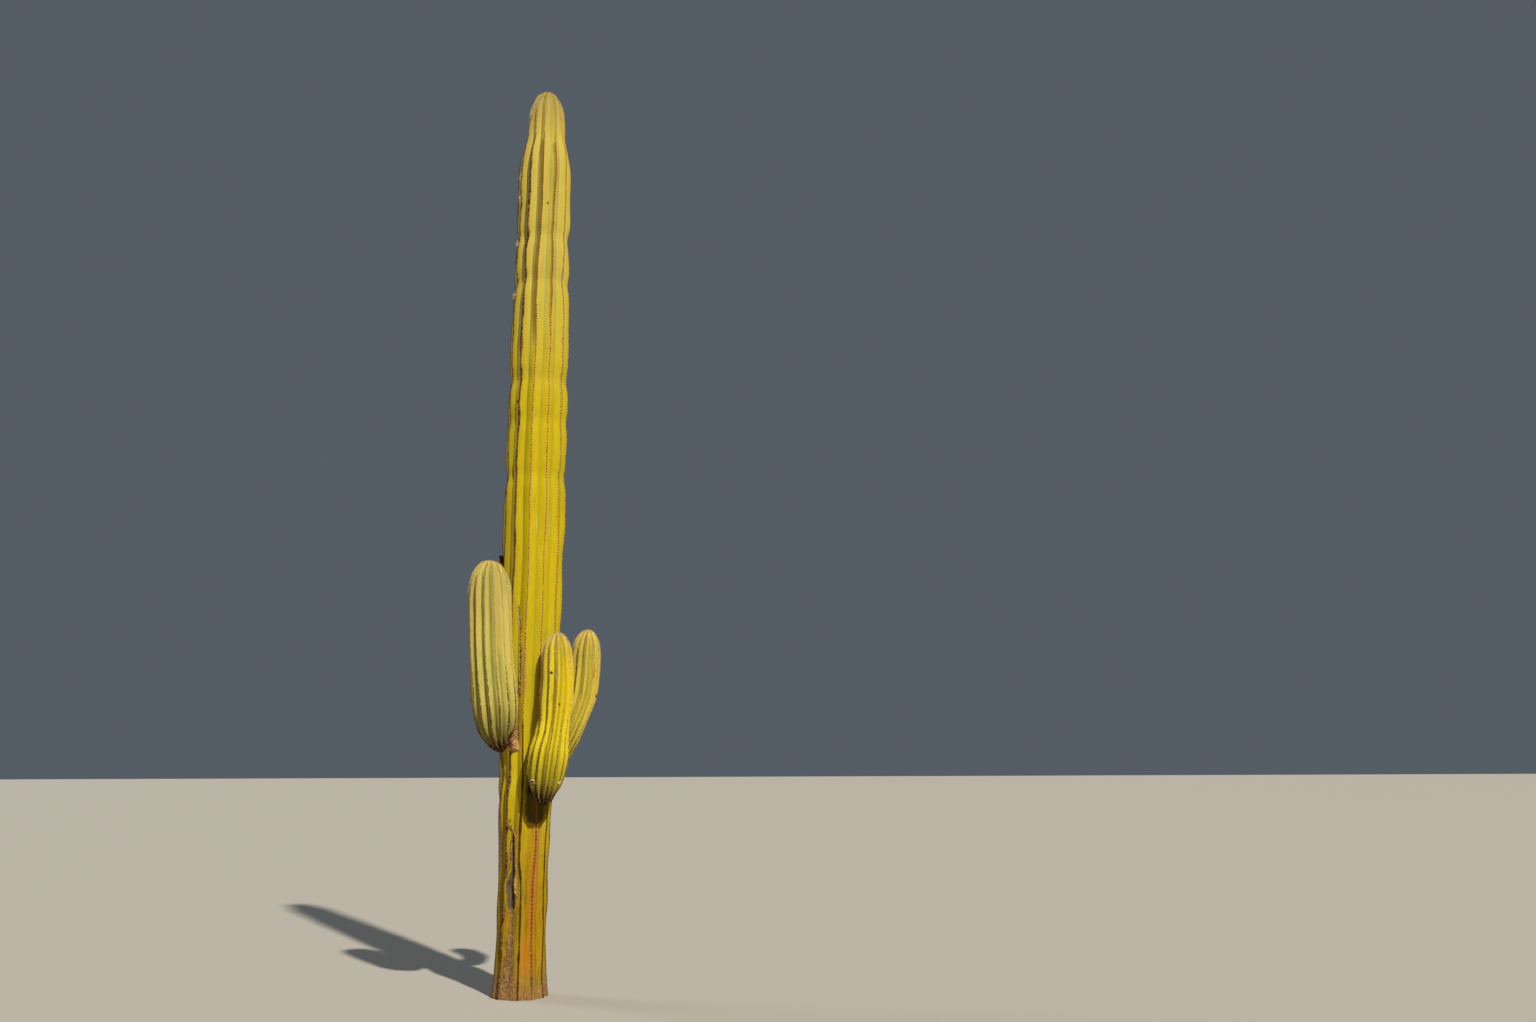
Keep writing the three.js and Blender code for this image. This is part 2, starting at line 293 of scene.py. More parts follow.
class Limb:
    """A limb with furrows given as (height mm, share of the radius). An upright one ends in a flat cut."""

    def __init__(self, name, stations, ribs, first_crest, furrows, seed, marks, sway, lumps=3.0,
                 waists=(), upright=False, drift=None):
        shape = through(stations, np.linspace(0, 1, SAMPLES)) * MM
        self.name, self.ribs, self.marks, self.waists, self.drift = name, ribs, marks, waists, drift
        self.furrow_heights, self.furrow_shares = np.array(furrows, float).T
        self.first_crest = math.radians(first_crest)
        self.lumps, self.sway = lumps * MM, sway * MM
        self.middles, self.radii = shape[:, :3], shape[:, 3].clip(0)
        self.run = np.concatenate([[0], np.cumsum(np.linalg.norm(np.diff(shape, axis=0), axis=1))])
        self.length = self.run[-1]
        growth = np.gradient(self.middles, axis=0)
        if upright:
            growth[:] = (0, 0, 1)
        growth = unit(growth)
        self.rights = unit(np.array([1.0, 0, 0]) - growth[:, :1] * growth)
        self.fronts = np.cross(self.rights, growth)
        self.swell_waves = long_waves(seed, count=9, most_rounds=6, shortest=0.25, longest=0.8)
        self.sway_waves = long_waves(seed + 1, count=7, most_rounds=5, shortest=0.5, longest=1.8)

    def vectors(self, table, along):
        """A table of vectors down the limb, read at distances along it."""
        return np.stack([np.interp(along, self.run, table[:, k]) for k in range(3)], -1)

    def height(self, along):
        return np.interp(along, self.run, self.middles[:, 2])

    def along_at(self, height):
        """The distance along the skin where the limb's middle is at this height in metres."""
        return np.interp(height, self.middles[:, 2], self.run)

    def girth(self, along):
        """The radius over the crests."""
        radius = np.interp(along, self.run, self.radii)
        for level, depth in self.waists:
            radius = radius - depth * MM * np.exp(-(((self.height(along) - level * MM) / WAIST_REACH) ** 2))
        return radius.clip(0)

    def angle(self, along, turn):
        """The angle round the limb where a rib place really lies, as crests wander."""
        even = self.first_crest + math.tau * turn / self.ribs
        girth = self.girth(along)
        full = np.minimum(girth / FULL_RELIEF, 1)
        bend = full * self.sway * ripple(self.sway_waves, even, along) / np.maximum(girth, FULL_RELIEF)
        if self.drift is not None:
            bend = bend + self.drift(even - self.first_crest, self.height(along))
        return even + bend

    def turn_at(self, along, degrees):
        """The rib place that lies at this angle."""
        per_turn = math.tau / self.ribs
        turn = (np.radians(degrees) - self.first_crest) / per_turn
        for _ in range(PLACE_ROUNDS):
            turn = turn - (self.angle(along, turn) - np.radians(degrees)) / per_turn
        return turn

    def wide(self, along, metres):
        """A width on the skin as a number of ribs."""
        return metres / (np.maximum(self.girth(along), LEAST_GIRTH) * math.tau / self.ribs)

    def covers(self, kind, along, turn):
        """How deep inside marks of one kind each place lies: 0.5 at the edge, 1 well inside."""
        degrees = np.degrees(self.angle(along, turn))
        shown = np.zeros(np.broadcast(along, turn).shape)
        for mark in self.marks:
            if mark.kind == kind:
                cover = mark.cover(self.height(along), degrees, self.girth(along))
                shown = np.maximum(shown, (1.5 - cover).clip(0, 1))
        return shown

    def skin(self, along, turn, lift=0.0):
        """Points on the skin, lift metres above it."""
        along, turn = np.broadcast_arrays(np.asarray(along, float), np.asarray(turn, float))
        height, radius = self.height(along), self.girth(along)
        angle = self.angle(along, turn)
        crest = 1 - furrow_shape(turn)
        full = np.minimum(radius / FULL_RELIEF, 1)
        furrow = np.interp(height / MM, self.furrow_heights, self.furrow_shares)
        reach = radius * (1 - furrow * (1 - crest))
        reach = reach + full * self.lumps * crest * ripple(self.swell_waves, angle, along)
        for mark in self.marks:
            reach = reach + full * mark.relief(mark.cover(height, np.degrees(angle), radius))
        out = towards(self.vectors(self.fronts, along), self.vectors(self.rights, along), angle)
        return self.vectors(self.middles, along) + out * (reach + lift)[..., None]

    def axes(self, along, turn):
        """Unit vectors at places on the skin: to the side, up along the limb, and out of the skin."""
        up = unit(self.skin(along + NUDGE, turn) - self.skin(along - NUDGE, turn))
        side = self.skin(along, turn + QUARTER_RIB) - self.skin(along, turn - QUARTER_RIB)
        side = unit(side - up * (side * up).sum(-1)[..., None])
        return np.stack([side, up, np.cross(side, up)], -2)


# %% The column and its arms
FOOT_STRETCH = 0.17
HEAD_TWIST = math.radians(4)
HOLLOW_PUSH = math.radians(6)
HOLLOW_MIDDLE = math.radians(-15)
RIB_ANGLE = math.radians(30)


def stem_drift(from_front, height):
    """Ribs of the old trunk spread towards the camera and round the hollow, and the head has turned."""
    stretch = FOOT_STRETCH * smooth(1.5, 0.95, height)
    off = ((from_front - HOLLOW_MIDDLE + math.pi) % math.tau - math.pi) / RIB_ANGLE
    push = HOLLOW_PUSH * smooth(0.88, 0.7, height) * np.sin(np.pi * off) * np.exp(0.31 - (off / 0.9) ** 2)
    return stretch * np.sin(from_front) + push + HEAD_TWIST * smooth(4.7, 5.3, height)


WAISTS = [(1390, 9), (3345, 10), (3720, 8), (4005, 11), (4690, 11), (5010, 11)]
STEM_FURROWS = [(0, 0.09), (500, 0.11), (1000, 0.14), (1500, 0.15), (1750, 0.135), (2150, 0.093),
                (4200, 0.096), (4800, 0.135), (5400, 0.15)]
stem = Limb("stem", STEM_STATIONS, ribs=12, first_crest=-9, furrows=STEM_FURROWS, seed=3,
            marks=STEM_MARKS, waists=WAISTS, upright=True, lumps=3.5, sway=3.5, drift=stem_drift)
left = Limb("left_arm", LEFT_STATIONS, ribs=14, first_crest=12, furrows=[(0, 0.21)], seed=13,
            marks=LEFT_MARKS, sway=2.5)
front = Limb("front_arm", FRONT_STATIONS, ribs=13, first_crest=-1, furrows=[(0, 0.21)], seed=23,
             marks=FRONT_MARKS, sway=4)
right = Limb("right_arm", RIGHT_STATIONS, ribs=12, first_crest=-4, furrows=[(0, 0.18)], seed=33,
             marks=RIGHT_MARKS, sway=2.5)
for limb in (stem, left, front, right):
    print(f"{limb.name}: {limb.length:.2f} m of skin from foot to tip")

# %% [markdown]
# The skin itself is one sheet. A grid is the natural start, because its two directions become "round the
# limb" and "along the limb": each vertex asks the limb where it belongs, and the two edges that meet are
# then merged. Columns crowd towards crests and furrows, where the shape turns fastest, and rows crowd
# towards the foot, where the damage is.

# %% Grid and mesh helpers
WELD = 1e-5


def unit_grid(columns, rows):
    """A flat grid from 0 to 1 each way, with its map in a UV layer named OFBake."""
    bm = bmesh.new()
    bm.loops.layers.uv.new("OFBake")
    bmesh.ops.create_grid(bm, x_segments=columns, y_segments=rows, size=0.5, calc_uvs=True)
    bmesh.ops.translate(bm, verts=bm.verts, vec=(0.5, 0.5, 0))
    return bm


def mesh_from(bm, name):
    """A mesh of what a bmesh holds. It ends the bmesh."""
    mesh = bpy.data.meshes.new(name)
    bm.to_mesh(mesh)
    bm.free()
    return mesh


def read_points(mesh):
    points = np.empty(len(mesh.vertices) * 3)
    mesh.vertices.foreach_get("co", points)
    return points.reshape(-1, 3)


def add_numbers(mesh, name, values):
    """One number for each vertex, for materials to read by its name."""
    layer = mesh.attributes.new(name, "FLOAT", "POINT")
    layer.data.foreach_set("value", np.asarray(values, np.float32))


def show(mesh, name, slot, *materials, smooth_faces=True):
    """Makes an object of a mesh, riding on the plant's one body."""
    thing = link_new(name, mesh)
    for material in materials:
        mesh.materials.append(material)
    mesh.polygons.foreach_set("use_smooth", np.full(len(mesh.polygons), smooth_faces))
    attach(thing, "root")
    print(f"{name}: {sum(len(p.vertices) - 2 for p in mesh.polygons)} triangles")
    return thing


# %% [markdown]
# Under the pale head, a brown band lies on the flank to the left of each crest: brown felt and spines with
# their painted shade. It is broad on the crests that face left, away from the key lamp, and hardly there on
# those that face right. The band follows the ribs, which no pattern in space does, so it is worked out from
# the limb and stored as a number at each vertex.

# %% Brown bands of painted shade beside the upper crests
SHADE_BAND_SHARES = np.array((1, 0.55, 0.15, 0.15, 0.2, 0.3, 0.5, 0.7, 0.9, 1, 1, 1))
SHADE_BAND_WIDTH = 27 * MM


def shade_band_cover(limb, along, turn):
    """1 on the brown flank of painted shade to the left of a crest under the head, and 0 elsewhere."""
    crest = np.round(turn)
    share = SHADE_BAND_SHARES[crest.astype(int) % limb.ribs]
    aside = (turn - crest) / limb.wide(along, 1.0)
    left_edge = -SHADE_BAND_WIDTH * (0.3 + 0.7 * share)
    across = smooth(left_edge - 3 * MM, left_edge + 4 * MM, aside) * smooth(3 * MM, -2 * MM, aside)
    height = limb.height(along)
    return across * share ** 0.5 * smooth(3.9, 4.6, height) * smooth(5.78, 5.6, height)


# %% Grow a skin on a limb
CROWDING = 0.45
MARK_KINDS = ("wound", "cork", "dark", "rust", "pink", "gold", "pale")


def rib_places(share, ribs):
    """Turns round the limb, for shares from 0 to 1 spaced evenly, crowded towards crests and furrows."""
    even = share * ribs
    return even - CROWDING * np.sin(4 * np.pi * even) / (4 * np.pi)


def grow_skin(limb, slot, material, replaced, columns_per_rib, rows, row_crowding=1.0):
    """Dresses a limb. Its rows crowd towards the foot where row_crowding is over 1."""
    bm = unit_grid(limb.ribs * columns_per_rib, rows)
    mesh = bpy.data.meshes.new(limb.name + "_skin")
    bm.to_mesh(mesh)
    share = read_points(mesh)
    turn = rib_places(share[:, 0], limb.ribs)
    along = share[:, 1] ** row_crowding * limb.length
    mesh.vertices.foreach_set("co", limb.skin(along, turn).ravel())
    add_numbers(mesh, "crest", 1 - furrow_shape(turn))
    add_numbers(mesh, "from_tip", limb.length - along)
    add_numbers(mesh, "from_heel", along)
    if limb is stem:
        add_numbers(mesh, "shade_band", shade_band_cover(limb, along, turn))
    for kind in MARK_KINDS:
        add_numbers(mesh, kind, limb.covers(kind, along, turn))
    bm.clear()
    bm.from_mesh(mesh)
    rim = [v for v in bm.verts if v.is_boundary]
    bmesh.ops.remove_doubles(bm, verts=rim, dist=WELD)
    open_edges = [e for e in bm.edges if e.is_boundary]
    if open_edges:
        bmesh.ops.holes_fill(bm, edges=open_edges, sides=0)
        bmesh.ops.recalc_face_normals(bm, faces=bm.faces)
    bm.to_mesh(mesh)
    bm.free()
    thing = show(mesh, limb.name + "_skin", slot, material)
    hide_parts(replaced)


# %% [markdown]
# Skin colour comes in layers, as on the real plant: yellow-green flanks with a pale waxy bloom down in
# the furrows, gold and rust on the old trunk, a tan tinge along each crest, then cork, gold and wounds
# wherever the marks say. Noise breaks up every edge between them, so nothing ends on a ruler's line.
# First come short calls for the few kinds of node that all the finishes use.

# %% Colours as they look on screen
def colour(red, green, blue):
    """A colour given as it looks on screen, from 0 to 255, as the linear values that shaders use."""
    parts = [c / 255 for c in (red, green, blue)]
    return (*[c / 12.92 if c < 0.04045 else ((c + 0.055) / 1.055) ** 2.4 for c in parts], 1.0)


# %% Node helpers
class Recipe:
    """A material's node tree, with a short call for each kind of node that this plant's finishes use."""

    def __init__(self, name, roughness, specular=0.3):
        self.material = bpy.data.materials.new(name)
        self.material.use_nodes = True
        self.tree = self.material.node_tree
        self.shader = self.tree.nodes["Principled BSDF"]
        self.shader.inputs["Roughness"].default_value = roughness
        self.shader.inputs["Specular IOR Level"].default_value = specular
        self.place = self.tree.nodes.new("ShaderNodeTexCoord").outputs["Object"]

    def feed(self, socket, value):
        if isinstance(value, bpy.types.NodeSocket):
            self.tree.links.new(value, socket)
        else:
            socket.default_value = value

    def node(self, kind, inputs, **settings):
        """The outputs of a new node: its settings go by name, and its inputs by name or number."""
        made = self.tree.nodes.new("ShaderNode" + kind)
        for setting, value in settings.items():
            setattr(made, setting, value)
        for socket, value in inputs.items():
            self.feed(made.inputs[socket], value)
        return made.outputs

    def number(self, name):
        """A number that is stored with the mesh."""
        return self.node("Attribute", {}, attribute_name=name)["Fac"]

    def height(self):
        return self.node("SeparateXYZ", {0: self.place})["Z"]

    def stretched(self, scale):
        """Places in space, scaled each way so that a pattern draws out along the limb."""
        if not scale:
            return self.place
        return self.node("Mapping", {"Vector": self.place, "Scale": scale})["Vector"]

    def noise(self, scale, detail, rough=0.55, stretch=None):
        inputs = {"Vector": self.stretched(stretch), "Scale": scale, "Detail": detail, "Roughness": rough}
        return self.node("TexNoise", inputs)["Fac"]

    def cracks(self, scale, stretch=None):
        inputs = {"Vector": self.stretched(stretch), "Scale": scale}
        return self.node("TexVoronoi", inputs, feature="DISTANCE_TO_EDGE")["Distance"]

    def math(self, operation, a, b=0.0):
        return self.node("Math", {0: a, 1: b}, operation=operation)[0]

    def sum(self, value, *others):
        """value plus each (other, weight)."""
        for other, weight in others:
            value = self.math("ADD", value, self.math("MULTIPLY", other, weight))
        return value

    def fade(self, value, low, high, to_low=0.0, to_high=1.0):
        """value mapped smoothly so that low becomes to_low and high becomes to_high."""
        inputs = dict(enumerate((value, low, high, to_low, to_high)))
        return self.node("MapRange", inputs, interpolation_type="SMOOTHSTEP")["Result"]

    def over(self, below, above, share, *more_shares):
        """One colour over another, by the product of the shares."""
        for other in more_shares:
            share = self.math("MULTIPLY", share, other)
        return self.node("Mix", {"Factor": share, 6: below, 7: above}, data_type="RGBA")[2]

    def finish(self, base, bump=None, strength=1.0, depth=1 * MM, roughness=None):
        """Feeds the shader. Roughness is fed only where it changes over the surface."""
        self.feed(self.shader.inputs["Base Color"], base)
        if roughness is not None:
            self.feed(self.shader.inputs["Roughness"], roughness)
        if bump is not None:
            normal = self.node("Bump", {"Strength": strength, "Distance": depth, "Height": bump})["Normal"]
            self.feed(self.shader.inputs["Normal"], normal)
        return self.material


# %% [markdown]
# The four skins share one recipe. It starts with noises, from patches as broad as a hand to hairlines
# drawn out along the ribs, and every later layer borrows its ragged edge from them. A layer is one call:
# a colour, and the shares that say where it shows.

# %% The skin's noises and layers
STREAK_STRETCH = (7.0, 7.0, 0.5)
THREAD_STRETCH = (8.0, 8.0, 0.5)
HAIRLINE_STRETCH = (8.0, 8.0, 0.4)
SCALE_STRETCH = (1.0, 1.0, 0.4)


class SkinRecipe(Recipe):
    """A skin in layers, with the noises and numbers that several layers read."""

    def __init__(self, name):
        super().__init__(name, roughness=0.6, specular=0.06)
        self.tone = None
        self.crest = self.number("crest")
        self.broad = self.noise(2.6, 4.0)
        self.fine = self.noise(55.0, 4.0, 0.62)
        self.streaks = self.noise(10.0, 4.0, 0.6, STREAK_STRETCH)
        self.threads = self.noise(22.0, 3.0, 0.6, THREAD_STRETCH)
        self.ragged = self.math("SUBTRACT", self.fine, 0.5)
        self.worn = self.sum(self.crest, (self.math("SUBTRACT", self.streaks, 0.5), 0.5), (self.ragged, 0.3))

    def marked(self, kind, low=0.42, high=0.58):
        """1 inside the marks of a kind and 0 outside, with a ragged edge."""
        return self.fade(self.sum(self.number(kind), (self.ragged, 0.55)), low, high)

    def lay(self, tone, *shares):
        """A colour laid over the skin so far."""
        self.tone = self.over(self.tone, tone, *shares)


# %% Flanks, crests and furrows
OLIVE = colour(140, 130, 12)
SUNNY = colour(212, 190, 24)


def lay_flanks(skin, crest, flank, furrow):
    """Flanks threaded with olive and yellow, between crests and furrows of their own colours."""
    threaded = skin.over(flank, OLIVE, skin.fade(skin.threads, 0.52, 0.7, 0.0, 0.45))
    threaded = skin.over(threaded, SUNNY, skin.fade(skin.threads, 0.46, 0.3, 0.0, 0.4))
    skin.tone = skin.over(furrow, threaded, skin.fade(skin.worn, 0.02, 0.36))
    skin.lay(crest, skin.fade(skin.worn, 0.62, 0.98))
    skin.lay(furrow, skin.fade(skin.sum(skin.broad, (skin.streaks, 0.6)), 0.72, 1.0), 0.35)


# %% [markdown]
# The column's skin tells its age. The trunk has lost its green to gold, with streaks of olive, orange and
# brown. The newest growth, towards the head, is pale, with wax in its furrows and cream on its crests.

# %% Old trunk and young top
OLD_GOLD = colour(160, 126, 14)
OLD_OLIVE = colour(112, 106, 18)
OLD_YELLOW = colour(176, 142, 14)
OLD_ORANGE = colour(166, 106, 30)
OLD_BROWN = colour(100, 66, 30)
PALE_YOUNG = colour(188, 169, 80)
WAX = colour(181, 175, 100)
CREST_CREAM = colour(204, 170, 100)


def old_tone(skin):
    tone = skin.over(OLD_GOLD, OLD_OLIVE, skin.fade(skin.streaks, 0.47, 0.6, 0.0, 0.9))
    tone = skin.over(tone, OLD_YELLOW, skin.fade(skin.threads, 0.46, 0.32, 0.0, 0.8))
    tone = skin.over(tone, OLD_ORANGE, skin.fade(skin.threads, 0.54, 0.66, 0.0, 0.7))
    hairlines = skin.noise(30.0, 3.0, 0.6, HAIRLINE_STRETCH)
    return skin.over(tone, OLD_BROWN, skin.fade(hairlines, 0.6, 0.7, 0.0, 0.75))


def lay_ages(skin):
    """Old skin low down, and young skin high up."""
    low = skin.sum(skin.height(), (skin.broad, 0.8), (skin.streaks, 0.5))
    skin.tone = skin.over(old_tone(skin), skin.tone, skin.fade(low, 1.25, 2.15))
    young = skin.fade(skin.sum(skin.height(), (skin.streaks, 1.0)), 4.2, 5.6)
    skin.lay(PALE_YOUNG, young, 0.5)
    skin.lay(WAX, skin.fade(skin.sum(skin.crest, (skin.ragged, 0.3)), 0.5, 0.12, 0.0, 0.8), young)
    skin.lay(CREST_CREAM, skin.fade(skin.worn, 0.66, 0.9), young, 0.6)


# %% [markdown]
# Along a crest the skin darkens in short ticks, one for each areole: brown spines and felt, and their
# painted shadows. A sine of the height, bent by the broad noise, gives them without any geometry. Stains
# come next, each from its own marks, then the down near a growing tip and a few freckles.

# %% Ticks, stains and freckles
AREOLES_PER_METRE = 57.0
# The shade band's colour: brown felt under painted shade.
SHADE_BAND_KHAKI = colour(150, 124, 50)
STAINS = (("rust", colour(178, 106, 32), 0.2, 0.8), ("pink", colour(186, 108, 72), 0.2, 0.8),
          ("gold", colour(212, 180, 12), 0.1, 0.9), ("pale", colour(196, 178, 98), 0.0, 1.0))
STAIN_SHARES = {"gold": 0.65, "pale": 0.75}


def lay_tick_and_band_shade(skin, banded):
    place = skin.sum(skin.math("MULTIPLY", skin.height(), math.tau * AREOLES_PER_METRE), (skin.broad, 30.0))
    spine_ticks_and_shade = skin.fade(skin.math("SINE", place), 0.0, 0.9)
    skin.lay(OLD_BROWN, spine_ticks_and_shade, skin.fade(skin.worn, 0.55, 1.0, 0.0, 0.3), skin.fade(skin.fine, 0.4, 0.6))
    # On the column: the band of painted shade on the flank left of each upper crest.
    if banded:
        shade_band = skin.fade(skin.sum(skin.number("shade_band"), (skin.ragged, 0.7)), 0.3, 0.7)
        skin.lay(skin.over(SHADE_BAND_KHAKI, OLD_BROWN, spine_ticks_and_shade, 0.6), shade_band, 0.85)


def lay_stains(skin, down, tip):
    """Stains, down from tip metres below the tip upwards, and freckles."""
    rusty = skin.fade(skin.threads, 0.3, 0.6, 0.1, 0.75)
    for kind, stain, low, high in STAINS:
        skin.lay(stain, skin.marked(kind, low, high), STAIN_SHARES.get(kind, rusty))
    skin.lay(down, skin.fade(skin.number("from_tip"), tip, 0.0, 0.0, 0.9))
    skin.lay(OLD_BROWN, skin.fade(skin.noise(120.0, 2.0, 0.5), 0.68, 0.78, 0.0, 0.5))


# %% [markdown]
# Cork is dead skin. It covers the marks of its kind, the foot of the column, and the heel of each arm, where
# it darkens in two steps: cork and old skin, and painted shade of the arm's underside. Under the front arm
# the column darkens too: dark bark round its neck, and the painted shadow of the arm. The wood in an open
# wound lies over everything.

# %% Cork, heels and wounds
CORK_TAN = colour(158, 118, 74)
CORK_DARK = colour(98, 72, 46)
# Dark bark under the front arm, darkened further as the painted shadow of that arm.
NECK_BARK_AND_SHADOW = colour(54, 40, 22)
DEAD_WOOD = colour(106, 92, 72)
DEAD_WOOD_DARK = colour(58, 52, 45)


def heel_cover(skin, reach, heel_cork_and_shade, heel_olive_and_shade, cork_tone):
    """Darkens an arm's heel: cork and old skin, and painted shade of its underside. Returns where it is
    corky, and the cork's colour.
    """
    from_heel = skin.sum(skin.number("from_heel"), (skin.streaks, 0.1), (skin.ragged, 0.05),
                         (skin.crest, 0.1))
    spots = skin.fade(skin.sum(skin.broad, (skin.fine, 0.8)), 0.9, 1.25, 0.0, 0.4)
    skin.lay(heel_olive_and_shade, skin.fade(from_heel, reach + 0.42, reach, 0.0, 0.75))
    return skin.fade(from_heel, reach + 0.1, reach + 0.03), skin.over(heel_cork_and_shade, cork_tone, spots)


def lay_bark(skin, heel):
    """Cork, wounds and, on the column, the dark patch under the front arm: dark bark and painted shadow. An
    arm is corky at its heel, and the column at its foot. Returns where cork is.
    """
    cork_tone = skin.over(CORK_DARK, CORK_TAN, skin.fade(skin.sum(skin.fine, (skin.threads, 0.8)), 0.6, 1.1))
    if heel:
        corky, cork_tone = heel_cover(skin, *heel, cork_tone)
    else:
        corky = skin.fade(skin.sum(skin.height(), (skin.broad, 0.3), (skin.streaks, 0.3)), 0.52, 0.3)
    bark = skin.math("MAXIMUM", skin.marked("cork"), corky)
    skin.lay(cork_tone, bark)
    if not heel:
        # The patch under the front arm: dark bark, and painted shadow of the arm.
        skin.lay(NECK_BARK_AND_SHADOW, skin.marked("dark", 0.2, 0.8), 0.85)
    skin.lay(skin.over(DEAD_WOOD_DARK, DEAD_WOOD, skin.fade(skin.threads, 0.4, 0.6)), skin.marked("wound"))
    return bark


# %% Skins of the column and the arms
HEAD_DOWN = colour(156, 143, 80)
ARM_DOWN = colour(204, 184, 96)


def skin_material(name, crest, flank, furrow, tip, heel=None):
    """heel is how far the cork reaches up an arm in metres, and its dark and its greenish colour, both
    partly painted shade of the underside.
    """
    skin = SkinRecipe(name)
    lay_flanks(skin, crest, flank, furrow)
    if not heel:
        lay_ages(skin)
    lay_tick_and_band_shade(skin, banded=not heel)
    lay_stains(skin, ARM_DOWN if heel else HEAD_DOWN, tip)
    bark = lay_bark(skin, heel)
    scales = skin.math("MULTIPLY", skin.cracks(60.0, SCALE_STRETCH), bark)
    bump = skin.sum(skin.math("MULTIPLY", skin.fine, 0.35), (scales, 4.0), (skin.threads, 0.6))
    dull = skin.fade(bark, 0.0, 1.0, 0.6, 0.9)
    return skin.finish(skin.tone, bump, strength=0.45, depth=3 * MM, roughness=dull)


STEM_SKIN = skin_material("stem_skin", crest=colour(196, 164, 30), flank=colour(190, 168, 12),
                          furrow=colour(172, 160, 34), tip=0.42)
# An arm's heel colours are cork and old skin, darkened further as painted shade of its underside.
LEFT_SKIN = skin_material("left_arm_skin", crest=colour(200, 174, 96), flank=colour(184, 174, 86),
                          furrow=colour(140, 148, 82), tip=0.2,
                          heel=(0.16, colour(70, 40, 27), colour(86, 86, 32)))
FRONT_SKIN = skin_material("front_arm_skin", crest=colour(214, 182, 44), flank=colour(212, 192, 20),
                           furrow=colour(146, 140, 40), tip=0.16,
                           heel=(0.17, colour(44, 34, 20), colour(104, 98, 36)))
RIGHT_SKIN = skin_material("right_arm_skin", crest=colour(210, 182, 84), flank=colour(196, 176, 56),
                           furrow=colour(156, 152, 60), tip=0.16,
                           heel=(0.16, colour(62, 44, 28), colour(118, 112, 22)))

grow_skin(stem, "stem_skin", STEM_SKIN, "main_stem", columns_per_rib=14, rows=570, row_crowding=1.35)
grow_skin(left, "pale_arm_skin", LEFT_SKIN, "left_arm", columns_per_rib=12, rows=190)
grow_skin(front, "arm_skin", FRONT_SKIN, "front_arm", columns_per_rib=12, rows=180)
grow_skin(right, "arm_skin", RIGHT_SKIN, "right_arm", columns_per_rib=12, rows=160)

# %% [markdown]
# Small things come in thousands, so each kind is one mesh: a single closed shape is made with the usual
# operators, and copies of its points are placed by arrays. Their colours are plain and are dealt out by
# material, because a pattern finer than a spine could never be seen.

# %% Plain finishes
PLAIN = {
    "cream": colour(208, 190, 134), "straw": colour(182, 154, 88), "tan": colour(156, 118, 62),
    "brown": colour(98, 66, 36), "rust": colour(150, 84, 34), "black": colour(38, 27, 20),
    "grey": colour(136, 122, 94), "ash": colour(188, 176, 150), "pink": colour(204, 160, 118),
    "umber": colour(66, 46, 28), "khaki": colour(134, 110, 46), "down": colour(228, 214, 166),
    "bark": colour(122, 90, 54), "fawn": colour(204, 176, 84),
}
PLAIN_NAMES = list(PLAIN)


def plain_materials(kind, roughness):
    """A plain finish of each tone: every piece of a kind shares the list, in the order of PLAIN_NAMES."""
    return [Recipe(f"{kind}_{name}", roughness, specular=0.1).finish(tone) for name, tone in PLAIN.items()]


FELT = plain_materials("felt", 0.95)
BRISTLE = plain_materials("bristle", 0.6)
FLAKE = plain_materials("flake", 0.85)


def pick_tones(draw, count, **weights):
    """Draws material numbers by the tones' weights. A weight may be an array with one for each copy."""
    spread = np.stack([np.broadcast_to(np.asarray(w, float), (count,)) for w in weights.values()])
    edges = np.cumsum(spread / spread.sum(0), axis=0)
    chosen = (draw.random(count) > edges).sum(0).clip(max=len(weights) - 1)
    return np.array([PLAIN_NAMES.index(name) for name in weights])[chosen]


# %% Joined copies
def corners_of(bm):
    return np.array([v.co for v in bm.verts])


def joined(name, bm, points, tones):
    """One mesh of many copies of a shape: points holds a row of corners for each copy. It ends the shape."""
    one = mesh_from(bm, name + "_one")
    many = bmesh.new()
    for _ in points:
        many.from_mesh(one)
    mesh = mesh_from(many, name)
    mesh.vertices.foreach_set("co", points.ravel())
    tones = np.asarray(tones, np.int32)
    if tones.shape == (len(points),):
        tones = np.repeat(tones, len(one.polygons))
    bpy.data.meshes.remove(one)
    mesh.polygons.foreach_set("material_index", tones.ravel())
    mesh.update()
    return mesh


def placed(bm, middles, axes, sizes):
    """Corners of copies of a shape: axes are each copy's side, up and out, and sizes its three scales."""
    return middles[:, None] + np.einsum("nvk,nkc->nvc", corners_of(bm)[None] * sizes[:, None], axes)


def show_copies(name, slot, finishes, bm, points, tones, smooth_faces=True):
    return show(joined(name, bm, points, tones), name, slot, *finishes, smooth_faces=smooth_faces)


def rod(sides, rows):
    """A closed rod of radius 1 that stands from 0 to 1, with rings of vertices all along it."""
    bm = bmesh.new()
    bmesh.ops.create_cone(bm, cap_ends=True, segments=sides, radius1=1, radius2=1, depth=1)
    bmesh.ops.translate(bm, verts=bm.verts, vec=(0, 0, 0.5))
    upright = [e for e in bm.edges if abs(e.verts[0].co.z - e.verts[1].co.z) > 0.5]
    bmesh.ops.subdivide_edges(bm, edges=upright, cuts=rows - 1)
    return bm


# %% [markdown]
# An areole is the small felted cushion that every cactus spine grows from. A cardon carries them on its
# crests, so close together that on old ribs the felt runs into one brown line. So each crest first gets
# a thin strip of felt, laid on the skin, and then a cushion every sixteen to twenty-four millimetres.

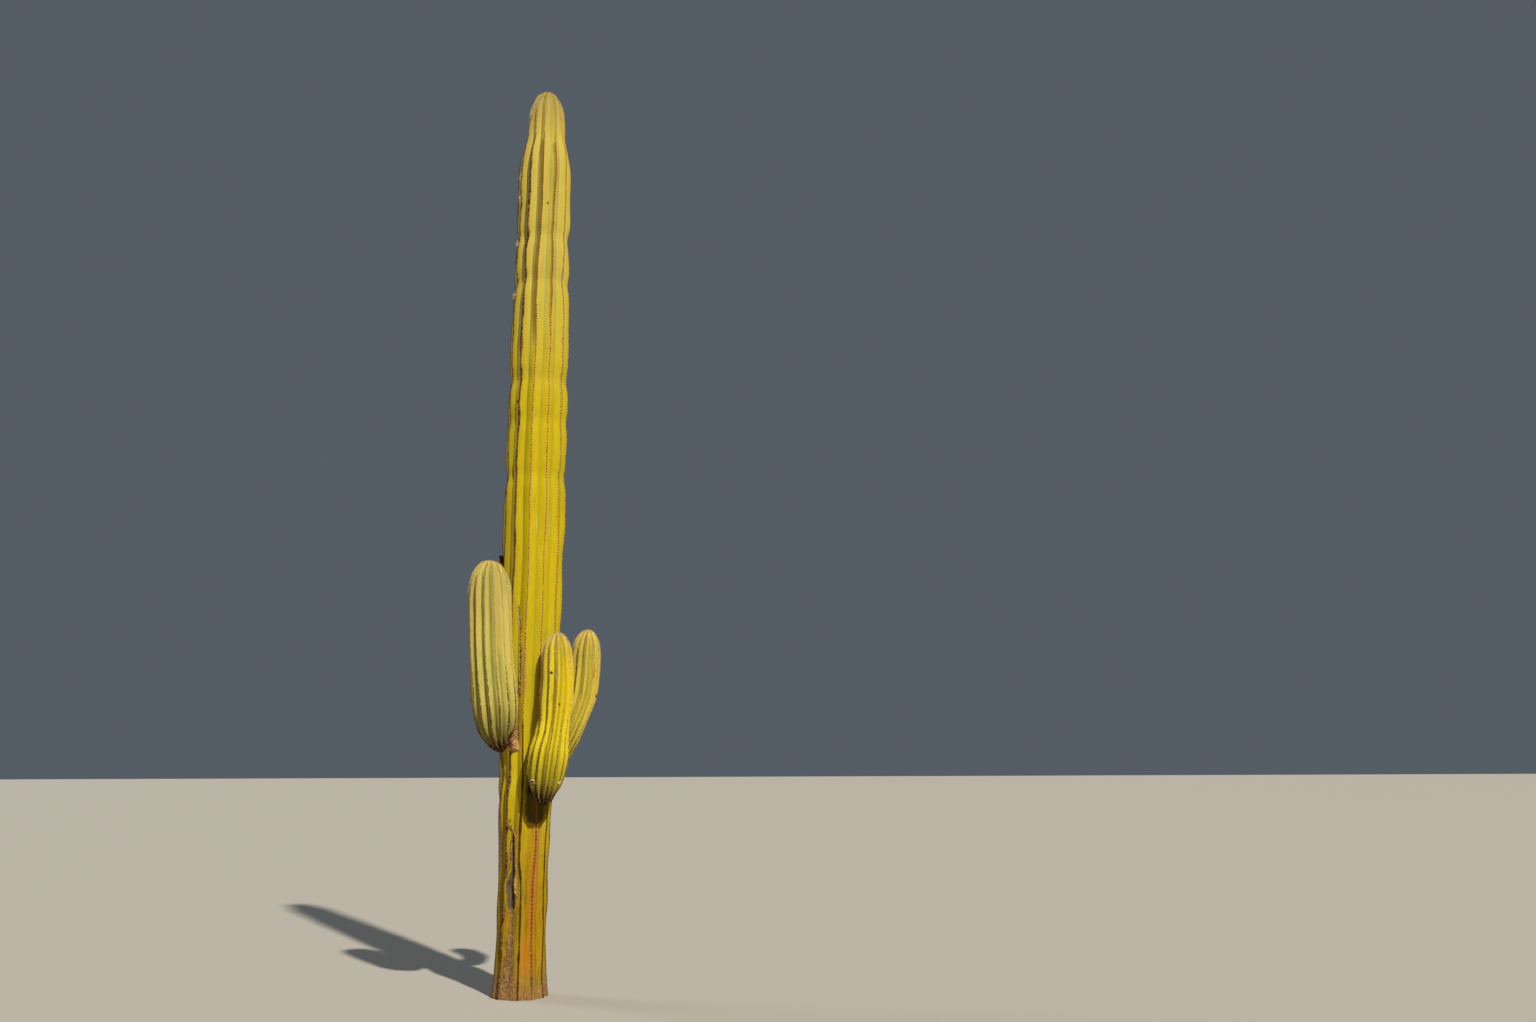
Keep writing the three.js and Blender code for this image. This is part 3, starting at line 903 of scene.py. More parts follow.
# %% Widths of the felt on the column
STRIP_HEIGHTS = (0.0, 0.5, 1.2, 1.7, 2.0, 4.2, 4.9, 5.6, 6.1)
STRIP_HALVES = (6.5, 6.5, 6, 4.5, 2.6, 2.6, 3.2, 3.4, 3.5)
BROAD_HEIGHTS = (1.7, 2.3, 3.4, 5.4, 5.7)
BROAD_HALVES = (5.0, 5.5, 8.5, 9.5, 3.4)
CORKY_HALF = 11.0
LADDER_HALF = 4.0
LADDER_CREST = 1
CORKY_CREST = 11
# Crests that face away from the key lamp, where felt and cushions are broader and darker: brown felt with
# painted shade.
SHADED_CRESTS = (9, 10, 11)
SHADED_OUTLINE_CRESTS = (8, 9, 10, 11)
OLD_TOP = 1.7
LADDER_TOP = 1.4
HEAD_BASE = 5.75


def crest_fade(limb, along):
    """Strips and cushions narrow where a limb closes at its tip and heel."""
    return smooth(0, 60 * MM, limb.girth(along))


def felt_waves(seed, angle, heights):
    """Short waves along a crest, with which its felt swells and pinches."""
    return ripple(long_waves(seed, 9, 5, 0.05, 0.3), angle, heights)


def stem_halves(crests, heights):
    """Half a strip's width in millimetres: broad on the shaded side, as dark felt with painted shade, and
    corky low down.
    """
    halves = np.interp(heights, STRIP_HEIGHTS, STRIP_HALVES)
    shaded = np.isin(crests, SHADED_CRESTS) & (heights > OLD_TOP)
    halves = np.where(shaded, np.interp(heights, BROAD_HEIGHTS, BROAD_HALVES), halves)
    halves = np.where((crests == CORKY_CREST) & (heights < OLD_TOP), CORKY_HALF, halves)
    halves = np.where((crests == LADDER_CREST) & (heights < LADDER_TOP), LADDER_HALF, halves)
    return halves * (1 + 0.28 * felt_waves(6, math.tau * crests / stem.ribs, heights))


# %% Tones of the felt on the column
def stem_tones(crests, heights):
    """Dark felt low down, and on the shaded side and outline as brown felt with painted shade; pale in the
    middle, brown bands under the pale head.
    """
    draw = np.random.default_rng(5)
    crests, heights = (values.ravel() for values in np.broadcast_arrays(crests, heights))
    old = smooth(OLD_TOP + 0.15, OLD_TOP - 0.1, heights)
    head = smooth(HEAD_BASE - 0.12, HEAD_BASE + 0.05, heights)
    upper = smooth(4.2, 4.8, heights) * (1 - head)
    middle = (1 - old) * (1 - head) * (1 - upper)
    shaded = middle * np.isin(crests, SHADED_CRESTS)
    lit = middle - shaded
    corky = old * (crests == CORKY_CREST)
    ladder = old * (crests == LADDER_CREST)
    dark = old * (1 - corky) * (1 - ladder) + shaded
    outline = upper * np.isin(crests, SHADED_OUTLINE_CRESTS)
    return pick_tones(
        draw, len(heights),
        umber=1.2 * old * dark + 0.5 * dark + 0.5 * corky + 3.5 * outline,
        brown=0.8 * dark + 1.0 * corky + 0.4 * ladder + 0.25 * upper + 1.5 * outline,
        bark=0.4 * shaded + 0.8 * corky + 0.7 * ladder + 0.8 * upper,
        rust=1.3 * ladder + 0.15 * lit + 0.3 * shaded,
        khaki=2.2 * upper,
        tan=0.6 * lit + 0.6 * upper + 0.2 * head,
        pink=0.5 * lit,
        fawn=0.9 * lit + 2.0 * head)


# %% Felt of the arms
DARK_SHARES = {"left_arm": 0.55, "front_arm": 0.7, "right_arm": 0.4}
HEEL_BROADS = {"left_arm": 3.0, "front_arm": 0.8, "right_arm": 0.5}
BROAD_SHARE = 0.6


def arm_low_share(limb, heights, dark_to):
    """1 at an arm's heel, where its crest lines are dark, and 0 above the share dark_to of its height."""
    foot, tip = limb.middles[0, 2], limb.middles[-1, 2]
    return smooth(dark_to, 0.3 * dark_to, (heights - foot) / (tip - foot))


def arm_halves(limb, crests, heights):
    """Half widths of an arm's strips, broader at its heel."""
    low = arm_low_share(limb, heights, BROAD_SHARE)
    wander = 1 + 0.25 * felt_waves(16, crests * 0.5, heights)
    return (2.4 + (0.6 + HEEL_BROADS[limb.name]) * low ** 2) * wander


def arm_tones(limb, crests, heights):
    draw = np.random.default_rng(15)
    heights = np.broadcast_arrays(crests, heights)[1].ravel()
    low = arm_low_share(limb, heights, DARK_SHARES[limb.name])
    return pick_tones(draw, len(heights), fawn=1.8 * (1 - low), straw=1.0 * (1 - low), tan=0.15,
                      bark=0.7 * low, brown=1.2 * low, umber=0.9 * low * low)


# %% Felt along the crests
FELT_THICK = 1.8 * MM
TIP_GAP = 4 * MM


def felt_piece(limb, halves, tones, rows, low_end):
    """A strip on every crest, from low_end metres along the limb to its tip."""
    reach = limb.length - TIP_GAP - low_end
    bm = rod(sides=5, rows=rows)
    across, lift, share = corners_of(bm).T
    crests = np.arange(limb.ribs)[:, None]
    along = low_end + reach * share[None]
    half = halves(crests, limb.height(along)) * MM * crest_fade(limb, along)
    points = limb.skin(along, crests + across * limb.wide(along, half), lift * FELT_THICK)
    middles = np.array([np.mean([v.co.z for v in face.verts]) for face in bm.faces])
    heights = limb.height(low_end + reach * middles)
    show_copies(limb.name + "_felt", "wool", FELT, bm, points, tones(crests, heights[None]))


felt_piece(stem, stem_halves, stem_tones, rows=620, low_end=4 * MM)
for arm in (left, front, right):
    felt_piece(arm, partial(arm_halves, arm), partial(arm_tones, arm), rows=130, low_end=40 * MM)

# %% [markdown]
# Next come the places of the areoles. They are found once, and cushions and spines both stand on them.
# A walk up each crest, with a step that is drawn a little long or short, keeps the rows from lining up.

# %% Places of the areoles
SKIP = 0.02
TIP_END = 3 * MM


def spacing_at(limb, along, usual, old_extra):
    """Areoles lie closer near the growing tip, and further apart on the old trunk."""
    base = usual + old_extra * smooth(1.5, 1.1, limb.height(along))
    return float(base * (0.5 + 0.5 * smooth(0.0, 0.3, limb.length - along)) * MM)


class Areoles:
    """The places of a limb's areoles: how far along it, on which crest and how far from the tip."""

    def __init__(self, limb, usual, first, seed, old_extra=0.0):
        """usual is the spacing in millimetres, and old_extra what it gains on the old trunk."""
        draw = np.random.default_rng(seed)
        alongs, crests = [], []
        for crest in range(limb.ribs):
            place = first + draw.random() * spacing_at(limb, first, usual, old_extra)
            while place < limb.length - TIP_END:
                if draw.random() > SKIP:
                    alongs.append(place)
                    crests.append(crest)
                place += spacing_at(limb, place, usual, old_extra) * draw.uniform(0.92, 1.08)
        self.limb, self.draw = limb, draw
        self.along, self.crest = np.array(alongs), np.array(crests)
        self.height, self.from_tip = limb.height(self.along), limb.length - self.along
        self.axes = limb.axes(self.along, self.crest)
        self.count = len(alongs)


stem_areoles = Areoles(stem, usual=19.5, first=60 * MM, seed=41, old_extra=4.5)
arm_areoles = [Areoles(left, usual=15, first=90 * MM, seed=42),
               Areoles(front, usual=17, first=120 * MM, seed=43),
               Areoles(right, usual=16, first=90 * MM, seed=44)]
print("areoles:", stem_areoles.count, [areoles.count for areoles in arm_areoles])

# %% [markdown]
# A cushion is a small icosphere, pressed flat on the crest. Its half width, half height and thickness, in
# millimetres, depend on where it stands: broad rungs on one rib of the old trunk, large dark ones on the
# rest of it, and pale round ones on the head.

# %% Areole cushions
HEAD_CUSHION = (4.5, 4.0, 2.0)
OLD_CUSHION = (6.5, 5.0, 2.4)
LADDER_CUSHION = (10, 5.5, 2.2)
ARM_CUSHION = (3.0, 3.3, 1.4)
RUNGS_TOP = 1.35


def lay_cushions(areoles, widths, tones):
    """widths has a row of half width, half height and thickness for each areole."""
    limb, draw = areoles.limb, areoles.draw
    bm = bmesh.new()
    bmesh.ops.create_icosphere(bm, subdivisions=1, radius=1)
    sizes = widths * MM * draw.uniform(0.85, 1.15, (areoles.count, 1))
    sizes *= (0.35 + 0.65 * crest_fade(limb, areoles.along))[:, None]
    middles = limb.skin(areoles.along, areoles.crest + draw.uniform(-0.006, 0.006, areoles.count), 0.8 * MM)
    points = placed(bm, middles, areoles.axes, sizes)
    show_copies(limb.name + "_areoles", "wool", FELT, bm, points, tones)


def stem_cushions(areoles):
    height, count = areoles.height, areoles.count
    shaded = np.isin(areoles.crest, SHADED_CRESTS)
    shade_band = SHADE_BAND_SHARES[areoles.crest] * smooth(3.9, 4.9, height)
    # Cushions on the shaded crests are broader: felt with the painted shade of its spines.
    widths = np.stack([np.where(shaded, 7.0, 4.2) + 3.0 * shade_band, 3.5 - 0.8 * shade_band, 2.3 - 0.5 * shade_band], 1)
    head = height > HEAD_BASE
    ladder = (areoles.crest == LADDER_CREST) & (height < RUNGS_TOP)
    for where, size in ((head, HEAD_CUSHION), (height < OLD_TOP, OLD_CUSHION), (ladder, LADDER_CUSHION)):
        widths[where] = size
    body = 1.0 - head
    shade_band = shade_band * np.where(np.isin(areoles.crest, SHADED_OUTLINE_CRESTS), 0.3, 1.0)
    plain = body * (1 - 0.85 * shade_band * smooth(4.1, 4.7, height))
    banded = shade_band * body
    tones = pick_tones(areoles.draw, count, black=0.5 * plain, umber=1.2 * plain, brown=0.9 * plain,
                       bark=0.9 * banded, khaki=1.4 * banded, tan=0.5 * banded + 0.6 * head,
                       fawn=2.0 * head, straw=1.0 * head)
    tones[ladder] = pick_tones(areoles.draw, ladder.sum(), rust=2.0, brown=0.8, bark=0.6)
    return widths, tones


def arm_cushions(areoles):
    widths = np.tile(ARM_CUSHION, (areoles.count, 1))
    low = arm_low_share(areoles.limb, areoles.height, DARK_SHARES[areoles.limb.name])
    tones = pick_tones(areoles.draw, areoles.count, umber=1.0 * low, brown=0.05 + 1.2 * low, bark=0.1,
                       tan=0.2, fawn=1.8 * (1 - low), straw=1.2 * (1 - low), cream=0.5 * (1 - low))
    return widths, tones


lay_cushions(stem_areoles, *stem_cushions(stem_areoles))
for areoles in arm_areoles:
    lay_cushions(areoles, *arm_cushions(areoles))

# %% [markdown]
# The spines fan out from each cushion. Those of a young arm are long, pale and dense enough to blur its
# outline, while on the old column they are short, grey or worn away. A spine is a cone with three sides:
# it is two pixels wide at most, so more sides would only cost memory.

# %% Spine shapes
def fan_axes(axes, draw, lowest, highest):
    """For each row of axes, new ones whose way out leans by a draw from lowest to highest degrees."""
    count = len(axes)
    around = draw.uniform(0, math.tau, count)
    lean = np.radians(draw.uniform(lowest, highest, count))
    side, up, out = axes[:, 0], axes[:, 1], axes[:, 2]
    leaning = towards(out, towards(side, up, around), lean)
    return axes_from(unit(np.cross(leaning, side + up * 0.3)), leaning)


def spine_shape():
    bm = bmesh.new()
    bmesh.ops.create_cone(bm, cap_ends=True, segments=3, radius1=1, radius2=0, depth=1)
    bmesh.ops.translate(bm, verts=bm.verts, vec=(0, 0, 0.5))
    bmesh.ops.remove_doubles(bm, verts=bm.verts, dist=WELD)
    return bm


def show_spines(name, slot, middles, axes, thick, length, tones):
    """Cones in millimetres at their places, each along the last vector of its axes."""
    bm = spine_shape()
    sizes = np.stack([thick, thick, length], 1) * MM
    points = placed(bm, middles, axes, sizes)
    show_copies(name, slot, BRISTLE, bm, points, tones, smooth_faces=False)


# %% Spines on the areoles
SPREAD = 0.012


def grow_spines(areoles, per_areole, shortest, longest, thick, lean, tones):
    """shortest, longest and thick are in millimetres: one number, or one for each areole."""
    draw, limb = areoles.draw, areoles.limb
    which = np.repeat(np.arange(areoles.count), per_areole)
    count = len(which)
    shortest, longest, thick = (np.broadcast_to(v, areoles.count)[which] for v in (shortest, longest, thick))
    axes = fan_axes(areoles.axes[which], draw, *lean)
    length = draw.uniform(shortest, longest)
    turn = areoles.crest[which] + draw.uniform(-SPREAD, SPREAD, count)
    middles = limb.skin(areoles.along[which] + draw.uniform(-2, 2, count) * MM, turn, 1 * MM)
    show_spines(limb.name + "_spines", "spine", middles, axes, thick, length, tones(draw, which))


def stem_spine_tones(draw, which):
    head = stem_areoles.height[which] > HEAD_BASE
    shade_band = SHADE_BAND_SHARES[stem_areoles.crest[which]] * smooth(4.0, 4.8, stem_areoles.height[which])
    return pick_tones(draw, len(which), umber=0.7 * (1 - shade_band), brown=1.0 - 0.6 * shade_band, bark=1.0,
                      tan=0.8 + 0.6 * shade_band, khaki=1.0 * shade_band, grey=0.3, straw=6.0 * head)


def arm_spine_tones(draw, which):
    return pick_tones(draw, len(which), cream=1.2, straw=1.8, fawn=2.2, tan=0.5, brown=0.1)


head_share = smooth(5.4, 5.9, stem_areoles.height)
old_share = smooth(OLD_TOP + 0.1, OLD_TOP - 0.3, stem_areoles.height)
stem_counts = np.round(4 + 4 * head_share - 2 * old_share).astype(int)
grow_spines(stem_areoles, stem_counts, shortest=4 + head_share, longest=8 + 2 * head_share,
            thick=0.9 - 0.25 * head_share, lean=(25, 80), tones=stem_spine_tones)
for areoles in arm_areoles:
    young = 1 - smooth(0.1, 0.6, areoles.from_tip)
    grow_spines(areoles, np.where(young > 0.5, 10, 8), shortest=5.0, longest=10 + 2 * young, thick=0.65,
                lean=(20, 80), tones=arm_spine_tones)

# %% [markdown]
# At a growing tip the areoles are still so close that their wool covers the skin like a brush. Short fine
# hairs, thick over the crown and thinner down the sides, give the tips their pale soft outline.

# %% Wool on the tips
WOOL_ON_CRESTS = 0.75
WOOL_SPREAD = 0.13


def plant_hairs(name, slot, limb, along, turn, lean, thick, length, draw, tones):
    """Fine cones on the skin, each leaning away from straight out by a draw between the two of lean."""
    count = len(along)
    axes = fan_axes(limb.axes(along, turn), draw, *lean)
    middles = limb.skin(along, turn, -1 * MM)
    show_spines(name, slot, middles, axes, np.full(count, thick), length, pick_tones(draw, count, **tones))


def grow_wool(limb, count, reach, longest, seed):
    draw = np.random.default_rng(seed)
    from_tip = reach * draw.beta(1.0, 2.4, count)
    turn = draw.uniform(0, limb.ribs, count)
    near_crest = draw.random(count) < WOOL_ON_CRESTS
    turn = np.where(near_crest, np.round(turn) + draw.normal(0, WOOL_SPREAD, count), turn)
    length = draw.uniform(0.5, 1.0, count) * longest * (0.35 + 0.65 * smooth(0.0, 0.12, from_tip))
    plant_hairs(limb.name + "_wool", "wool", limb, limb.length - from_tip, turn, (10, 55), 1.1, length, draw,
                dict(down=3.0, cream=2.0, fawn=2.5))


grow_wool(stem, 9000, reach=0.44, longest=11, seed=51)
grow_wool(left, 10000, reach=0.5, longest=12, seed=52)
grow_wool(front, 6500, reach=0.4, longest=12, seed=53)
grow_wool(right, 6500, reach=0.4, longest=12, seed=54)

# %% [markdown]
# A few areoles on the outline carry spines that are longer and paler than the rest, and show as specks
# of light. Each such tuft is a burst of the same hairs round one place on a crest.

# %% Tufts of long pale spines on the shaded outline
TUFTS = ((5430, 10), (5270, 10), (4960, 10), (4590, 10), (4210, 9), (3460, 9), (3250, 9), (2880, 9),
         (2330, 10), (3900, 4), (2650, 6), (1930, 7))
TUFT_SPINES = 24
TUFT_REACH = 10
TUFT_SPREAD = 0.03


def grow_tufts(limb, places, seed):
    """Places are (height in mm, crest)."""
    draw = np.random.default_rng(seed)
    heights, crests = np.repeat(np.array(places, float), TUFT_SPINES, axis=0).T
    count = len(heights)
    along = limb.along_at(heights * MM) + draw.normal(0, TUFT_REACH, count) * MM
    turn = crests + draw.normal(0, TUFT_SPREAD, count)
    plant_hairs(limb.name + "_tufts", "spine", limb, along, turn, (5, 50), 1.2, draw.uniform(16, 28, count),
                draw, dict(cream=2.0, down=1.0, straw=1.0, tan=0.4))


grow_tufts(stem, TUFTS, seed=55)

# %% [markdown]
# Each arm hangs on a narrow neck of old wood. The neck is a rod drawn from inside the arm to inside the
# column, thinnest in the middle, and its bark is a set of waves that run mostly along it, so that the
# ridges follow the grain.

# %% Bark of the necks
def bark_material(name, dark, light, foot_dark=None, foot_light=None):
    """Bark of two tones; where foot tones are given, they take over towards the column."""
    recipe = Recipe(name, roughness=0.9, specular=0.1)
    grain = recipe.noise(24.0, 5.0, 0.65)
    spots = recipe.noise(90.0, 3.0, 0.6)
    if foot_dark:
        near_column = recipe.fade(recipe.sum(recipe.number("to_column"), (spots, 0.3)), 0.5, 0.75)
        dark, light = recipe.over(dark, foot_dark, near_column), recipe.over(light, foot_light, near_column)
    tone = recipe.over(dark, light, recipe.fade(recipe.sum(grain, (spots, 0.4)), 0.5, 0.9))
    tone = recipe.over(tone, light, recipe.fade(spots, 0.6, 0.72, 0.0, 0.7))
    return recipe.finish(tone, recipe.sum(grain, (recipe.cracks(70.0), 1.5)), strength=0.8, depth=4 * MM)


PALE_BARK = bark_material("pale_neck_bark", colour(64, 38, 26), colour(128, 76, 40),
                          foot_dark=colour(150, 106, 70), foot_light=colour(206, 168, 116))
# The front and right necks, under their arms: brown bark darkened as painted shade.
SHADED_NECK_BARK = bark_material("shaded_neck_bark", colour(40, 30, 22), colour(84, 62, 40))

# %% Woody necks
NECK_REACH = 30 * MM


def grow_neck(name, material, start, end, thin, thick, seed):
    """A neck from inside the arm to inside the column, thin in the middle and thick at both ends."""
    bm = rod(sides=44, rows=56)
    x, y, share = corners_of(bm).T
    start, end = np.array(start) * MM, np.array(end) * MM
    growth = unit(end - start)
    start = start - growth * NECK_REACH
    length = np.linalg.norm(end - start)
    side = unit(np.cross(growth, (0, 0, 1.0)))
    over = np.cross(side, growth)
    around = np.arctan2(y, x)
    radius = thin + (thick - thin) * np.abs(2 * share - 1) ** 1.4
    ridges = ripple(long_waves(seed, 14, 13, 0.12, 0.5), around, share * length)
    lumps = ripple(long_waves(seed + 1, 10, 5, 0.03, 0.09), around, share * length)
    radius = (radius + 2.2 * ridges + 1.8 * lumps) * MM * np.hypot(x, y)
    points = start + share[:, None] * (end - start)
    points = points + towards(side, over, around) * radius[:, None]
    mesh = joined(name, bm, points[None], [0])
    add_numbers(mesh, "to_column", share)
    show(mesh, name, "cork", material)


grow_neck("left_neck", PALE_BARK, (-150, -250, 1622), (-46, -92, 1560), thin=34, thick=48, seed=61)
grow_neck("front_neck", SHADED_NECK_BARK, (128, -262, 1312), (62, -92, 1292), thin=44, thick=58, seed=63)
grow_neck("right_neck", SHADED_NECK_BARK, (240, 42, 1560), (84, 10, 1352), thin=46, thick=64, seed=65)

# %% [markdown]
# Where the skin has split, the plant heals the edge with a swollen lip of cork. A lip is again a rod laid
# on the skin, with its width and height changing along it. The dark floor of the split is the dented
# skin between the two lips.

# %% Healed lips and corky ridges
LIP_TAPER = 0.06


def lay_ridge(limb, line, aside, half, lift, rows, seed, tones, roughness=0.5):
    """A corky ridge beside a line of (height, degrees, half width), aside millimetres from its edge."""
    bm = rod(sides=8, rows=rows)
    across, out, share = corners_of(bm).T
    height, degrees, edge = np.array(sorted(line), float).T
    level = height[0] + (height[-1] - height[0]) * share
    along = limb.along_at(level * MM)
    wander = ripple(long_waves(seed, 8, 2, 0.02, 0.12), 0 * share, along)
    side = np.interp(level, height, edge) * np.sign(aside) + aside + wander * 1.2
    taper = smooth(0, LIP_TAPER, share) * smooth(1, 1 - LIP_TAPER, share)
    grown = (0.75 + 0.25 * np.sin(wander * 3)) * taper
    middle = limb.turn_at(along, np.interp(level, height, degrees))
    turn = middle + limb.wide(along, (side + across * half * grown) * MM)
    bumps = 1 + roughness * 0.4 * ripple(long_waves(seed + 1, 9, 3, 0.01, 0.05), across * 2, along)
    points = limb.skin(along, turn, out * lift * MM * grown * np.where(out > 0, bumps, 1))
    return bm, points, pick_tones(np.random.default_rng(seed), len(bm.faces), **tones)


def show_ridges(name, ridges):
    """Joins ridges of one limb into one mesh."""
    whole = bmesh.new()
    for bm, points, _ in ridges:
        for vertex, place in zip(bm.verts, points):
            vertex.co = place
        part = mesh_from(bm, "part")
        whole.from_mesh(part)
        bpy.data.meshes.remove(part)
    mesh = mesh_from(whole, name)
    tones = np.concatenate([tone for _, _, tone in ridges])
    mesh.polygons.foreach_set("material_index", tones.astype(np.int32))
    show(mesh, name, "cork", *FLAKE)


# %% Lips of the splits, the groove and the scratches
LIP_TONES = dict(pink=3.0, ash=1.5, straw=1.0)
RED_TONES = dict(pink=1.2, bark=1.5, rust=1.0, brown=0.6)
KNOT_TONES = dict(pink=1.0, tan=2.0, rust=1.0)
BARK_TONES = dict(bark=2.0, brown=1.5, tan=1.0)
GROOVE_TONES = dict(tan=2.0, pink=0.7, bark=1.5)
WOOD_TONES = dict(fawn=2.0, tan=1.0)
SCRATCH_TONES = dict(cream=2.0, straw=1.0)
KNOT = [(1850, -12.5, 1), (1805, -10.5, 1)]
HOLLOW_EDGE = [(745, -21, 2), (700, -20, 4), (640, -20, 2)]
SCRATCHES = [(3050, 5.9, 0), (2940, 6.3, 0)], [(3055, 33, 0), (2935, 32.6, 0)]
ARM_SCAR = [(2095, 42, 2), (2025, 47, 3)]

# After its limb and line, each ridge has its distance aside, half width, lift, rows, seed and tones.
show_ridges("split_lips", [
    lay_ridge(stem, SPLIT, -3.5, 5, 4.5, 110, 71, LIP_TONES),
    lay_ridge(stem, SPLIT, 3, 4, 3.5, 110, 72, RED_TONES),
    lay_ridge(stem, KNOT, -1, 5.5, 4, 16, 73, KNOT_TONES),
])
show_ridges("groove_lips", [
    lay_ridge(stem, LOW_GROOVE, -3, 4, 4, 110, 74, BARK_TONES),
    lay_ridge(stem, LOW_GROOVE, 3, 4, 5, 110, 76, GROOVE_TONES),
    lay_ridge(stem, HOLLOW_EDGE, 0, 9, 7, 16, 75, WOOD_TONES, roughness=0.1),
    lay_ridge(stem, REAR_SPLIT, -4, 5, 5, 50, 77, BARK_TONES),
    lay_ridge(stem, REAR_SPLIT, 4, 5, 5, 50, 78, BARK_TONES),
])
show_ridges("scratches", [
    lay_ridge(stem, SCRATCHES[0], 0, 2.0, 0.8, 24, 79, SCRATCH_TONES),
    lay_ridge(stem, SCRATCHES[1], 0, 2.0, 0.8, 24, 80, SCRATCH_TONES),
])
show_ridges("right_arm_scar", [lay_ridge(right, ARM_SCAR, -2, 4, 3, 24, 84, RED_TONES)])

# %% [markdown]
# Dead bark lifts off in small plates. One plate is a low seven-sided disc. Hundreds of them, each turned,
# tilted and scaled by seeded draws, are scattered inside the corky marks only.

# %% Flakes of bark
TRIES = 6
INSIDE = 0.45


def lay_flakes(name, limb, count, heights, angles, size, seed, tones, tilt=7):
    """Flakes on the cork of a limb, between two heights in mm and two angles in degrees."""
    draw = np.random.default_rng(seed)
    along = limb.along_at(draw.uniform(*heights, count * TRIES) * MM)
    turn = limb.turn_at(along, draw.uniform(*angles, count * TRIES))
    inside = limb.covers("cork", along, turn) > INSIDE
    along, turn = along[inside][:count], turn[inside][:count]
    count = len(along)
    axes = fan_axes(limb.axes(along, turn), draw, 0, tilt)
    side = towards(axes[:, 0], axes[:, 1], draw.normal(0, 0.35, count))
    axes = axes_from(side, axes[:, 2])
    sizes = np.stack([draw.uniform(0.5, 1.0, count) * size, draw.uniform(0.8, 1.8, count) * size,
                      draw.uniform(1.2, 2.4, count)], 1) * MM
    bm = bmesh.new()
    bmesh.ops.create_cone(bm, cap_ends=True, segments=7, radius1=1, radius2=0.78, depth=1)
    points = placed(bm, limb.skin(along, turn, 0.6 * MM), axes, sizes)
    show_copies(name, "cork", FLAKE, bm, points, pick_tones(draw, count, **tones), smooth_faces=False)


lay_flakes("neck_flakes", stem, 70, heights=(1480, 1720), angles=(-50, 10), size=4.5, seed=81,
           tones=dict(pink=1.5, ash=1.0, bark=1.0, brown=1.0, tan=2.0), tilt=26)
lay_flakes("trunk_flakes", stem, 50, heights=(30, 560), angles=(-75, 20), size=8, seed=82,
           tones=dict(tan=1.5, bark=2.5))
lay_flakes("rear_flakes", stem, 150, heights=(30, 820), angles=(120, 190), size=8, seed=83,
           tones=dict(tan=1.0, bark=3.0, brown=1.0))

# %% [markdown]
# Holes, pecked or rotted, and the stubs where something broke off are turned shapes: a short profile, drawn
# from the middle outwards, is spun once round. The turned shape is then bent over the limb by giving its
# points to the limb as places on the skin, so that its edge always meets the rib. A hole's floor lies no
# lower than the skin round it, so its black is painted shade; a stub's dark middle is painted shade of its
# hollow too.

# %% Holes and stubs
PIT = [(0, 0.9), (0.35, 0.9), (0.62, 1.2), (0.78, 3.2), (0.9, 2.4), (1.0, -1.5), (0.5, -5), (0, -6)]
STUB = [(0, 3), (0.22, 3.5), (0.36, 8), (0.55, 11.5), (0.76, 10), (0.92, 5), (1.0, -3), (0.5, -8), (0, -8)]
TURN_STEPS = 20


def order_faces(bm):
    """A spin lists its faces in an order that changes from run to run, so they are put in a fixed one."""
    bm.verts.index_update()
    for place, face in enumerate(sorted(bm.faces, key=lambda face: [v.index for v in face.verts])):
        face.index = place
    bm.faces.sort()


def lay_turned(name, limb, height, degrees, width, profile, seed, tones, tall=1.0, shade_reach=0.62):
    """profile is (share of the half width, mm above the skin) from the middle to the rim and under. The
    faces round the middle take the first tone, painted shade of the hollow.
    """
    bm = bmesh.new()
    points = [bm.verts.new((reach, 0, lift)) for reach, lift in profile]
    edges = [bm.edges.new(pair) for pair in zip(points, points[1:])]
    bmesh.ops.spin(bm, geom=points + edges, cent=(0, 0, 0), axis=(0, 0, 1), angle=math.tau,
                   steps=TURN_STEPS, use_merge=True)
    bmesh.ops.remove_doubles(bm, verts=bm.verts, dist=WELD)
    bmesh.ops.recalc_face_normals(bm, faces=bm.faces)
    order_faces(bm)
    x, y, lift = corners_of(bm).T
    around = np.arctan2(y, x)
    uneven = 1 + 0.09 * ripple(long_waves(seed, 6, 5, 0.5, 1.0), around, 0 * x)
    rise = lift * (1 + 0.25 * ripple(long_waves(seed + 1, 6, 4, 0.5, 1.0), around, 0 * x))
    along = limb.along_at(height * MM) + y * uneven * width * tall * MM
    turn = limb.turn_at(along, degrees) + limb.wide(along, x * uneven * width * MM)
    reach = np.array([max(math.hypot(v.co.x, v.co.y) for v in face.verts) for face in bm.faces])
    hollow_shade_tone, outer = (PLAIN_NAMES.index(tone) for tone in tones)
    tone = np.where(reach < shade_reach, hollow_shade_tone, outer)
    show_copies(name, "cork", FLAKE, bm, limb.skin(along, turn, rise * MM)[None], tone[None])


